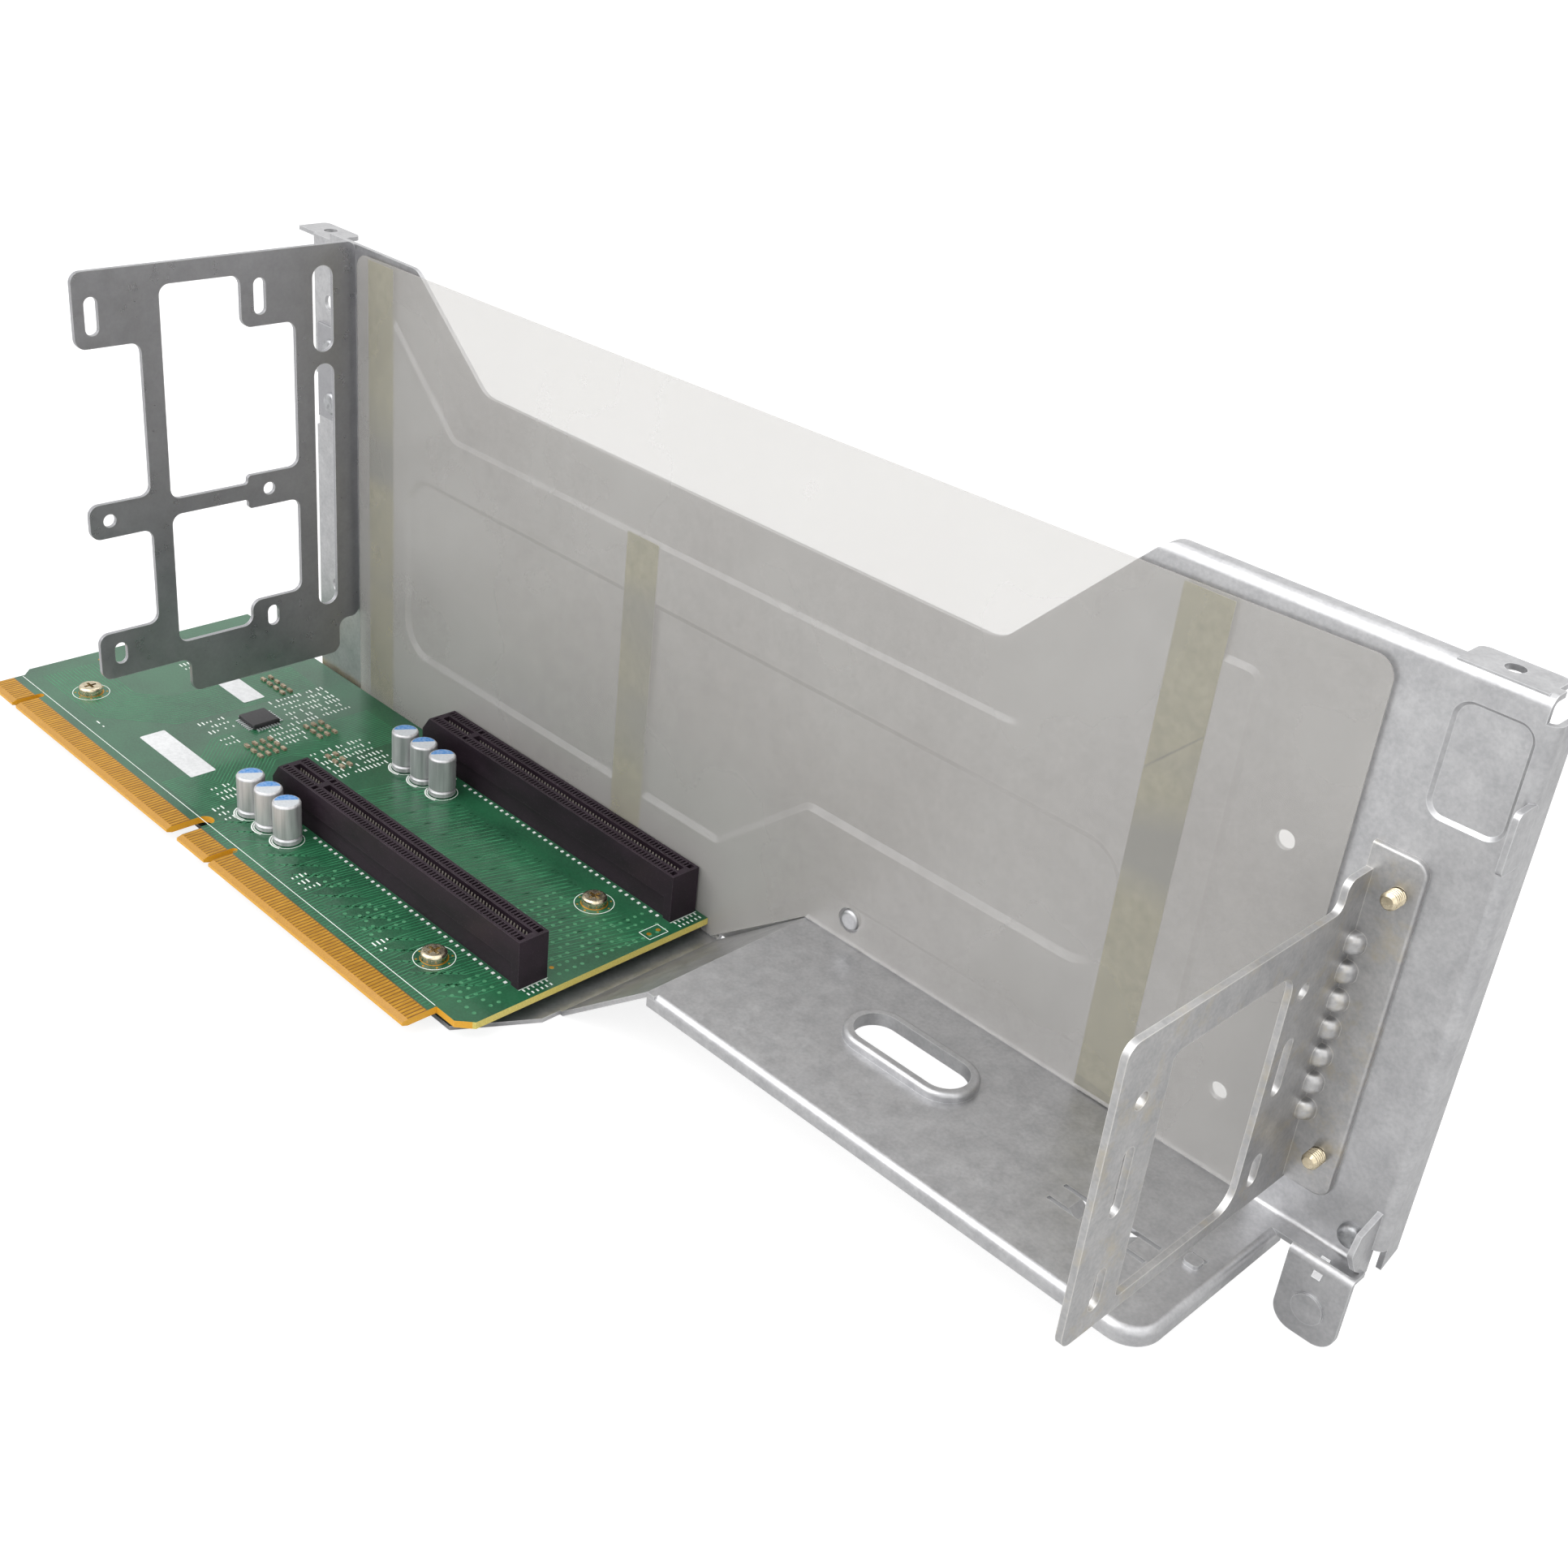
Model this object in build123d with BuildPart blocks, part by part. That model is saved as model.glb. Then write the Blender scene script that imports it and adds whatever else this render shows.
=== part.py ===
# PCI Express riser card for a rack server, screwed to its folded steel carrier.
#
# The card is a wide board with two edge connectors along its front edge and two
# full length card slots on top. The carrier is one folded sheet: a low plate under
# the board, a ramp, a raised plate, a tall rear wall and a foot at the right end.
# A slotted end bracket closes the left end and a retaining frame the right end.
#
# Sizes are in millimetres. Positions are measured from the datum of the board:
# x runs along the slots, y runs from the contact edge back to the wall, z is up
# from the upper face of the board. The planes below move the datum so that the
# part stands on z = 0 with its origin at the middle of its underside.

import os
from math import atan2, cos, sin

from build123d import *

os.makedirs("parts", exist_ok=True)

# Circuit board
board_left = -91.3
board_right = 92.5
board_depth = 72.4
board_t = 1.6
shoulder_y = 8.0
board_corner = 3.0
board_hole_d = 3.4

# Edge connectors on the board
tongue_short = 11.15
tongue_notch = 1.9
tongue_long = 71.15
tongue_gap = 4.3
tongue_x = -0.5
notch_depth = 7.6
bevel_len = 1.3
bevel_drop = 0.45
pad_pitch = 1.0
pad_w = 0.7
pad_t = 0.05
pad_far_y = 5.7
contacts_short = 11
contacts_long = 71
key_step = 3.0

# Card slots
slot_len = 89.0
slot_w = 7.4
slot_h = 11.25
slot_pitch = 40.64
slot_x = -0.1
slot_rear_gap = 0.46
slot_first = 3.5
groove_w = 1.9
groove_depth = 8.2
groove_end = 1.6
key_w = 1.7
cell_w = 0.58
cell_l = 1.55
cell_off = 2.35
cell_depth = 1.3
big_cell = 1.2
side_relief = 0.6
relief_h = 5.4
relief_end = 2.2
last_cell = 1.2
slot_nose = 2.6
slot_nose_h = 3.6

# Capacitors
cap_d = 6.3
cap_h = 10.0
cap_groove = 0.35
cap_groove_z = 1.6
cap_near_gap = 5.6
cap_far_gap = 6.54
cap_first_x = 0.0
cap_far_dx = 2.2
cap_pitch = 7.3

# Control chip, small parts and blank labels
chip_size = 7.0
chip_h = 1.2
chip_x = -36.5
chip_y = 42.5
chip_pins = 8
pin_pitch = 0.8
pin_w = 0.35
pin_reach = 1.0
pin_t = 0.15
label_t = 0.1
label_places = {"label_long": (-33.0, 18.6, 23.6, 6.4), "label_short": (-53.2, 47.4, 13.0, 5.8)}
label_round = 0.4
small_l = 1.6
small_w = 0.8
small_h = 0.6
small_step_x = 2.9
small_step_y = 2.1

# Board screws and spacers
spacer_h = 2.5
spacer_d = 6.0
spacer_bore = 3.0
screw_shank = 2.8
screw_head_d = 5.6
screw_head_h = 1.9
screw_left = -72.0
screw_right = 70.0
screw_back_right = 73.6
screw_slot_gap = 6.6
screw_back_gap = 15.9
drive_len = 3.0
drive_w = 0.7
drive_depth = 0.9

# Folded carrier sheet
sheet = 1.0
bend_in = 1.0
wall_gap = 1.0
plate_left = -82.0
plate_right = 95.5
plate_front = 9.5
raised_z = 14.6
ramp_run = 24.0
raised_front = 30.0
raised_right = 233.6
edge_lip = 3.2
lip_round = 1.4
corner_round = 6.0
ramp_slit = 0.8
ramp_skirt = 0.7
relief_up = 0.2
wall_left = -56.6
wall_right = 249.6
left_top = 114.0
right_top = 119.0
top_return = 3.0
side_return = 5.5
cut_z = 90.8
cut_left_low = 9.5
cut_left_top = -16.0
cut_right_low = 155.0
cut_right_top = 183.0
cut_round = 7.0
cut_shoulder = 4.5

# Pressed features of the carrier
field_step = 0.6
field_left = -33.5
field_right = 205.0
field_top = 105.5
field_drop = 13.0
field_rise = 3.0
field_round = 3.0
panel_depth = 0.8
panel_left = -19.0
panel_right = 189.0
panel_top = 64.5
panel_low = 18.5
panel_high = 38.5
panel_round = 9.0
press_slope = 60
hole_x = 163.9
hole_y = 55.0
hole_len = 29.6
hole_wid = 13.2
rim_w = 1.9
rim_h = 1.8
strap_x = 213.5
strap_y = 47.6
strap_len = 19.8
strap_w = 3.7
slit_w = 0.9
strap_dip = 1.4
nub_x = 228.7
nub_y = 51.4
nub_len = 2.9
nub_w = 2.6
nub_h = 0.8
nub_slot = 1.0
wall_hole_d = 3.4
wall_holes = [(215.0, 30.4), (215.0, 80.2), (-50.8, 95.6), (-49.4, 24.1)]
dimple_x = 131.0
dimple_z = 20.1
dimple_d = 4.6
dimple_h = 1.2

# Tabs and foot of the carrier
tab_depth = 8.5
tab_w = 14.0
tab_hole = 3.2
left_tab_x = -56.9
left_tab_z = 110.5
left_tab_end = -50.0
right_tab_x = 239.5
foot_left = 236.6
foot_right = 248.4
foot_y = 68.4
foot_bottom = -1.6
foot_corner = 4.0
stake_d = 5.8
stake_up = 6.2
stake_h = 0.4
hook_x = 246.8
hook_bottom = 13.2
hook_top = 26.1
hook_reach = 7.4
side_tab_z = 97.5
side_tab_len = 10.5
recess_x = 240.8
recess_z = 104.3
recess_w = 12.6
recess_h = 19.4
recess_round = 3.0
recess_depth = 0.6
recess_slope = 45

# End bracket with two card openings
bracket_x = -39.4
bracket_t = 1.0
bracket_front = 19.6
bracket_top = 112.8
bracket_foot = 20.0
bracket_round = 2.4
ear_front = 5.0
ear_spans = [(96.5, 112.8), (54.0, 62.0), (20.0, 31.2)]
skirt_front = 27.0
skirt_rear_gap = 5.8
skirt_bottom = 11.25
window_front = 24.4
window_mid = 43.7
window_rear_gap = 16.2
window_spans = [(60.0, 108.2, 62.0, 96.4), (24.6, 56.3, 30.5, 54.0)]
step_round = 0.9
card_hole_d = 3.0
card_hole_y = 9.6
card_hole_z = 58.0
card_hole_step = 39.6
latch_slots = [(9.0, 103.3, 8.2), (48.4, 103.0, 8.2), (9.9, 25.9, 5.2), (49.2, 25.7, 5.2)]
latch_slot_w = 3.0
long_slot_w = 5.3
long_slot_gap = 8.9
long_slots = [(98.2, 19.8), (55.2, 60.6)]

# Retaining frame at the right end
frame_x = 229.2
frame_t = 1.2
frame_front = 11.4
frame_bottom = 22.6
frame_top = 77.8
frame_horn = 83.2
horn_len = 7.7
frame_round = 2.6
win_front = 24.2
win_back = 56.0
win_bottom = 25.2
win_top = 71.0
frame_hole_y = 17.9
frame_hole_z = 65.8
frame_hole_step = 42.0
frame_hole_d = 3.0
frame_slots = [(17.9, 51.2, 12.6), (18.3, 30.6, 8.0), (60.0, 51.4, 11.0), (60.6, 30.4, 6.6)]
frame_slot_w = 2.8
flange_w = 8.3
flange_bottom = 23.0
flange_top = 87.6
knuckles = 7
knuckle_pitch = 5.4
knuckle_first = 35.9
knuckle_len = 3.9
knuckle_r = 2.4
knuckle_round = 1.5
frame_screw_d = 2.8
frame_screw_out = 3.2
frame_screw_x = 235.2
frame_screw_low = 30.6
frame_screw_high = 80.8

# Rivets
rivet_d = 5.2
rivet_h = 1.1
rivet_shank = 2.8
rivet_play = 0.1
rivet_tail = 0.8
lug_rivet_in = 9.0
lug_run = 15.0
lug_low = 67.4
lug_high = 90.4
lug_rivet_low = 72.0
lug_rivet_high = 85.0
stud_x = 244.0
stud_z = 19.0
stud_d = 4.6
stud_h = 1.5

# Film and its tape
film_t = 0.25
tape_t = 0.15
film_left = -37.6
film_right = 225.2
film_left_top = 110.6
film_right_top = 115.8
film_lift = 0.3
film_round = 3.5
tape_w = 9.6
tape_xs = {"tape_left": -28.7, "tape_middle": 63.7, "tape_right": 192.8}
tape_inset = 0.6

# Values that follow from those above
tongue_w = tongue_short + tongue_notch + tongue_long
front_wall = board_depth + wall_gap
back_wall = front_wall + sheet
bend_out = bend_in + sheet
low_top = -board_t - spacer_h
low_bottom = low_top - sheet
plate_edge_z = raised_z - edge_lip
left_edge_z = left_top - bend_out
ramp_top_x = plate_right + ramp_run
depth_total = back_wall + tab_depth - sheet
screw_back_y = board_depth - screw_back_gap
slot_far_y = board_depth - slot_rear_gap - slot_w
slot_near_y = slot_far_y - slot_pitch
screw_front_y = slot_near_y - screw_slot_gap
lug_places = [(bracket_x - lug_rivet_in, z) for z in (lug_rivet_low, lug_rivet_high)]
frame_screw_places = [(frame_screw_x, z) for z in (frame_screw_low, frame_screw_high)]
field_front = front_wall - field_step
field_back = back_wall - field_step
mid_x = (board_left + wall_right) / 2
mid_y = depth_total / 2


def level(z):
    """Horizontal plane at height z, drawn in board x and y."""
    return Plane(origin=(-mid_x, -mid_y, z - low_bottom), x_dir=(1, 0, 0), z_dir=(0, 0, 1))


def upright(y):
    """Plane that faces the front at depth y, drawn in board x and z."""
    return Plane(origin=(-mid_x, y - mid_y, -low_bottom), x_dir=(1, 0, 0), z_dir=(0, -1, 0))


def across(x):
    """Plane square to the slots at x, drawn in board y and z."""
    return Plane(origin=(x - mid_x, -mid_y, -low_bottom), x_dir=(0, 1, 0), z_dir=(1, 0, 0))


def corner(sketch, a, b, near=0.05):
    """Vertices of a sketch at one drawn point."""
    return [v for v in sketch.vertices() if abs(v.X - a) < near and abs(v.Y - b) < near]


def keep(piece, name):
    """Label one finished piece and write its file."""
    piece.part.label = name
    export_step(piece.part, f"parts/{name}.step")


# Circuit board with its two contact tongues
tongue_starts = [tongue_x - tongue_gap - tongue_w, tongue_x]
screw_places = [
    (screw_left, screw_front_y),
    (screw_right, screw_front_y),
    (screw_left, screw_back_y),
    (screw_back_right, screw_back_y),
]

with BuildPart() as board:
    with BuildSketch(level(-board_t)) as board_outline:
        with Locations(((board_left + board_right) / 2, (shoulder_y + board_depth) / 2)):
            Rectangle(board_right - board_left, board_depth - shoulder_y)
        front_corners = board_outline.vertices().group_by(Axis.Y)[0]
        chamfer(front_corners, board_corner)
        for start in tongue_starts:
            with Locations((start, 0)):
                Rectangle(tongue_w, shoulder_y + 1, align=(Align.MIN, Align.MIN))
            notch_x = start + tongue_short + tongue_notch / 2
            notch_end = notch_depth - tongue_notch / 2
            with Locations((notch_x, notch_end / 2)):
                Rectangle(tongue_notch, notch_end, mode=Mode.SUBTRACT)
            with Locations((notch_x, notch_end)):
                Circle(tongue_notch / 2, mode=Mode.SUBTRACT)
        with Locations((tongue_x - tongue_gap / 2, shoulder_y)):
            Circle(tongue_gap / 2, mode=Mode.SUBTRACT)
        for hole in screw_places:
            with Locations(hole):
                Circle(board_hole_d / 2, mode=Mode.SUBTRACT)
    extrude(amount=board_t)
    # The contact edge is bevelled on both faces so that it enters its socket.
    with BuildSketch(across(board_left)):
        with BuildLine():
            Polyline(
                (-1, -bevel_drop),
                (0, -bevel_drop),
                (bevel_len, 0),
                (bevel_len, 1),
                (-1, 1),
                close=True,
            )
        make_face()
        with BuildLine():
            Polyline(
                (-1, -board_t - 1),
                (bevel_len, -board_t - 1),
                (bevel_len, -board_t),
                (0, bevel_drop - board_t),
                (-1, bevel_drop - board_t),
                close=True,
            )
        make_face()
    extrude(amount=board_right - board_left, mode=Mode.SUBTRACT)
keep(board, "circuit_board")


def contact_pads(z):
    """Gold contacts of both tongues on the face at height z."""
    inset = (tongue_short - (contacts_short - 1) * pad_pitch - pad_w) / 2
    with BuildPart() as pads:
        with BuildSketch(level(z)):
            for start in tongue_starts:
                first = start + inset + pad_w / 2
                pad_mid = (bevel_len + pad_far_y) / 2
                short_mid = first + (contacts_short - 1) * pad_pitch / 2
                last_short = first + (contacts_short - 1) * pad_pitch
                long_mid = last_short + key_step + (contacts_long - 1) * pad_pitch / 2
                with Locations((short_mid, pad_mid)):
                    with GridLocations(pad_pitch, 1, contacts_short, 1):
                        Rectangle(pad_w, pad_far_y - bevel_len)
                with Locations((long_mid, pad_mid)):
                    with GridLocations(pad_pitch, 1, contacts_long, 1):
                        Rectangle(pad_w, pad_far_y - bevel_len)
        extrude(amount=pad_t)
    return pads


upper_pads = contact_pads(0)
keep(upper_pads, "contacts_upper")
lower_pads = contact_pads(-board_t - pad_t)
keep(lower_pads, "contacts_lower")


def card_slot(y):
    """Slot housing for a full length card, with its front face at depth y."""
    mid = y + slot_w / 2
    contact_one = slot_x + slot_first
    key_x = contact_one + (contacts_short - 1) * pad_pitch + key_step / 2
    contact_twelve = key_x + key_step / 2
    last_contact = contact_twelve + (contacts_long - 1) * pad_pitch
    with BuildPart() as housing:
        with BuildSketch(upright(y)):
            with BuildLine():
                Polyline(
                    (slot_x, 0),
                    (slot_x + slot_len, 0),
                    (slot_x + slot_len, slot_h),
                    (slot_x + slot_nose, slot_h),
                    (slot_x, slot_h - slot_nose_h),
                    close=True,
                )
            make_face()
        extrude(amount=-slot_w)
        # The lower half of each side steps in above the solder tails.
        with BuildSketch(level(0)):
            relief_len = slot_len - slot_nose - relief_end
            relief_mid = slot_x + slot_nose + relief_len / 2
            for side in (y + side_relief / 2, y + slot_w - side_relief / 2):
                with Locations((relief_mid, side)):
                    Rectangle(relief_len, side_relief)
        extrude(amount=relief_h, mode=Mode.SUBTRACT)
        # Groove for the card edge, with the key left standing across it.
        with BuildSketch(level(slot_h)):
            groove_start = slot_x + slot_nose + groove_end
            groove_stop = slot_x + slot_len - groove_end
            with Locations(((groove_start + groove_stop) / 2, mid)):
                Rectangle(groove_stop - groove_start, groove_w)
            with Locations((key_x, mid)):
                Rectangle(key_w, groove_w, mode=Mode.SUBTRACT)
        extrude(amount=-groove_depth, mode=Mode.SUBTRACT)
        # Openings over the springs, one over each contact in both walls.
        with BuildSketch(level(slot_h)):
            for row in (mid - cell_off, mid + cell_off):
                with Locations((contact_one + (contacts_short - 1) * pad_pitch / 2, row)):
                    with GridLocations(pad_pitch, 1, contacts_short, 1):
                        Rectangle(cell_w, cell_l)
                with Locations((contact_twelve + (contacts_long - 1) * pad_pitch / 2, row)):
                    with GridLocations(pad_pitch, 1, contacts_long, 1):
                        Rectangle(cell_w, cell_l)
                with Locations((key_x, row), (last_contact + last_cell * pad_pitch, row)):
                    Rectangle(big_cell, cell_l)
        extrude(amount=-cell_depth, mode=Mode.SUBTRACT)
    return housing


near_slot = card_slot(slot_near_y)
keep(near_slot, "slot_housing_near")
far_slot = card_slot(slot_far_y)
keep(far_slot, "slot_housing_far")


def capacitor(x, y):
    """Aluminium can with a rolled groove above its seat."""
    r = cap_d / 2
    axis_plane = Plane(origin=(x - mid_x, y - mid_y, -low_bottom), x_dir=(1, 0, 0), z_dir=(0, -1, 0))
    with BuildPart() as can:
        with BuildSketch(axis_plane) as half:
            with BuildLine():
                Polyline((0, 0), (r - 0.25, 0), (r, 0.3), (r, cap_groove_z - 0.4))
                Polyline((r, cap_groove_z - 0.4), (r - cap_groove, cap_groove_z), (r, cap_groove_z + 0.4))
                Polyline((r, cap_groove_z + 0.4), (r, cap_h), (0, cap_h), (0, 0))
            make_face()
            fillet(half.vertices().group_by(Axis.Y)[-1].sort_by(Axis.X)[-1], 0.6)
        revolve(axis=Axis((x - mid_x, y - mid_y, 0), (0, 0, 1)))
    return can


cap_places = [(cap_first_x + i * cap_pitch, slot_near_y - cap_near_gap) for i in range(3)]
cap_places += [(cap_first_x + cap_far_dx + i * cap_pitch, slot_far_y - cap_far_gap) for i in range(3)]
for number, (cap_x, cap_y) in enumerate(cap_places, 1):
    keep(capacitor(cap_x, cap_y), f"capacitor_{number}")

# Control chip with its leads
with BuildPart() as chip:
    body = level(pin_t)
    with BuildSketch(body):
        with Locations((chip_x, chip_y)):
            Rectangle(chip_size, chip_size)
    extrude(amount=chip_h)
    chamfer(chip.faces().sort_by(Axis.Z)[-1].edges(), 0.2)
    lead_step = chip_size / 2 + pin_reach / 2
    with BuildSketch(level(0)):
        for side in (-1, 1):
            with Locations((chip_x + side * lead_step, chip_y)):
                with GridLocations(1, pin_pitch, 1, chip_pins):
                    Rectangle(pin_reach + 0.4, pin_w)
            with Locations((chip_x, chip_y + side * lead_step)):
                with GridLocations(pin_pitch, 1, chip_pins, 1):
                    Rectangle(pin_w, pin_reach + 0.4)
    extrude(amount=2 * pin_t)
keep(chip, "control_chip")

# Small surface parts round the chip and along the slots
small_groups = [((-50.5, 56.0), 4, 2), ((-24.0, 36.5), 3, 4), ((-24.5, 52.0), 3, 3), ((-9.0, 47.0), 3, 2)]
with BuildPart() as passives:
    with BuildSketch(level(0)):
        for middle, columns, rows in small_groups:
            with Locations(middle):
                with GridLocations(small_step_x, small_step_y, columns, rows):
                    Rectangle(small_l, small_w)
    extrude(amount=small_h)
keep(passives, "small_parts")


def blank_label(x, y, length, width):
    """Plain sticker on the board."""
    with BuildPart() as sticker:
        with BuildSketch(level(0)):
            with Locations((x, y)):
                RectangleRounded(length, width, label_round)
        extrude(amount=label_t)
    return sticker


for label_name, (label_x, label_y, label_l, label_w) in label_places.items():
    keep(blank_label(label_x, label_y, label_l, label_w), label_name)

# Spacers between the low plate and the board
with BuildPart() as spacers:
    with BuildSketch(level(low_top)):
        for place in screw_places:
            with Locations(place):
                Circle(spacer_d / 2)
                Circle(spacer_bore / 2, mode=Mode.SUBTRACT)
    extrude(amount=spacer_h)
keep(spacers, "board_spacers")

# Board screws: pan head on the board, shank down into the spacer
with BuildPart() as board_screws:
    with BuildSketch(level(low_top)):
        for place in screw_places:
            with Locations(place):
                Circle(screw_shank / 2)
    extrude(amount=-low_top)
    with BuildSketch(level(0)):
        for place in screw_places:
            with Locations(place):
                Circle(screw_head_d / 2)
    extrude(amount=screw_head_h)
    fillet(board_screws.faces().group_by(Axis.Z)[-1].edges(), 0.7)
    with BuildSketch(level(screw_head_h)):
        for place in screw_places:
            with Locations(place):
                Rectangle(drive_len, drive_w)
                Rectangle(drive_w, drive_len)
    extrude(amount=-drive_depth, mode=Mode.SUBTRACT)
keep(board_screws, "board_screws")

# Folded carrier, one sheet
ramp_rise = raised_z - low_top
ramp_angle = atan2(ramp_rise, ramp_run)
ramp_grade = ramp_rise / ramp_run


def wall_section(plate_z, plate_y, top_z):
    """Section of plate, rear bend, wall and top return, drawn in y and z."""
    with BuildSketch() as section:
        with BuildLine():
            Polyline(
                (plate_y, plate_z),
                (front_wall, plate_z),
                (front_wall, top_z),
                (back_wall + top_return, top_z),
                (back_wall + top_return, top_z - sheet),
                (back_wall, top_z - sheet),
                (back_wall, plate_z - sheet),
                (plate_y, plate_z - sheet),
                close=True,
            )
        make_face()
        fillet(corner(section, front_wall, plate_z), bend_in)
        fillet(corner(section, back_wall, plate_z - sheet), bend_out)
        fillet(corner(section, front_wall, top_z), bend_out)
        fillet(corner(section, back_wall, top_z - sheet), bend_in)
    return section.sketch


# Raised plate of the carrier, a shallow tray turned over: its front and right
# edges roll down, with a round corner between them.
with BuildPart() as raised_plate:
    with BuildSketch(level(plate_edge_z)) as raised:
        with BuildLine():
            Polyline(
                (ramp_top_x, raised_front),
                (raised_right, raised_front),
                (raised_right, front_wall - 2),
                (ramp_top_x, front_wall - 2),
                close=True,
            )
        make_face()
        fillet(corner(raised, raised_right, raised_front), corner_round)
    extrude(amount=edge_lip)
    top_edges = raised_plate.edges().group_by(Axis.Z)[-1]
    rear_edge = top_edges.sort_by(Axis.Y)[-1]
    left_edge = top_edges.sort_by(Axis.X)[0]
    fillet([e for e in top_edges if e not in (rear_edge, left_edge)], lip_round)
    with BuildSketch(level(plate_edge_z)) as hollow:
        with BuildLine():
            Polyline(
                (ramp_top_x - 5, raised_front + sheet),
                (raised_right - sheet, raised_front + sheet),
                (raised_right - sheet, front_wall + 4),
                (ramp_top_x - 5, front_wall + 4),
                close=True,
            )
        make_face()
        fillet(corner(hollow, raised_right - sheet, raised_front + sheet), corner_round - sheet)
    extrude(amount=edge_lip - sheet, mode=Mode.SUBTRACT)
    # Cable opening with a rolled rim.
    with BuildSketch(level(raised_z)):
        with Locations((hole_x, hole_y)):
            SlotOverall(hole_len, hole_wid)
    extrude(amount=rim_h)
    rim_edges = raised_plate.faces().filter_by(
        lambda f: abs(f.center().Z - (raised_z + rim_h - low_bottom)) < 0.01
    )[0].edges()
    fillet(rim_edges, 0.9)
    with BuildSketch(level(raised_z - sheet - 1)):
        with Locations((hole_x, hole_y)):
            SlotOverall(hole_len - 2 * rim_w, hole_wid - 2 * rim_w)
    extrude(amount=rim_h + sheet + 2, mode=Mode.SUBTRACT)
    # Lanced strap: two slits with the strip between them pressed down.
    with BuildSketch(level(raised_z - sheet)):
        with Locations((strap_x, strap_y)):
            Rectangle(strap_len, strap_w + 2 * slit_w)
    extrude(amount=sheet, mode=Mode.SUBTRACT)
    # Nub with a slit behind it, at the right end of the plate.
    with BuildSketch(level(raised_z)):
        with Locations((nub_x, nub_y)):
            RectangleRounded(nub_len, nub_w, nub_h)
    extrude(amount=nub_h)
    with BuildSketch(level(raised_z - sheet)):
        with Locations((nub_x, nub_y + nub_w / 2)):
            Rectangle(nub_len, nub_slot, align=(Align.CENTER, Align.MIN))
    extrude(amount=sheet, mode=Mode.SUBTRACT)
    half_strap = strap_len / 2
    with BuildSketch(upright(strap_y + strap_w / 2)):
        with BuildLine():
            Polyline(
                (strap_x - half_strap, raised_z),
                (strap_x - half_strap + 4, raised_z),
                (strap_x - half_strap + 6, raised_z - strap_dip),
                (strap_x + half_strap - 6, raised_z - strap_dip),
                (strap_x + half_strap - 4, raised_z),
                (strap_x + half_strap, raised_z),
                (strap_x + half_strap, raised_z - sheet),
                (strap_x + half_strap - 4.4, raised_z - sheet),
                (strap_x + half_strap - 6.4, raised_z - sheet - strap_dip),
                (strap_x - half_strap + 6.4, raised_z - sheet - strap_dip),
                (strap_x - half_strap + 4.4, raised_z - sheet),
                (strap_x - half_strap, raised_z - sheet),
                close=True,
            )
        make_face()
    extrude(amount=strap_w)

low_section = wall_section(low_top, front_wall - 6, left_top)
high_section = wall_section(raised_z, front_wall - 4, right_top)

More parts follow.
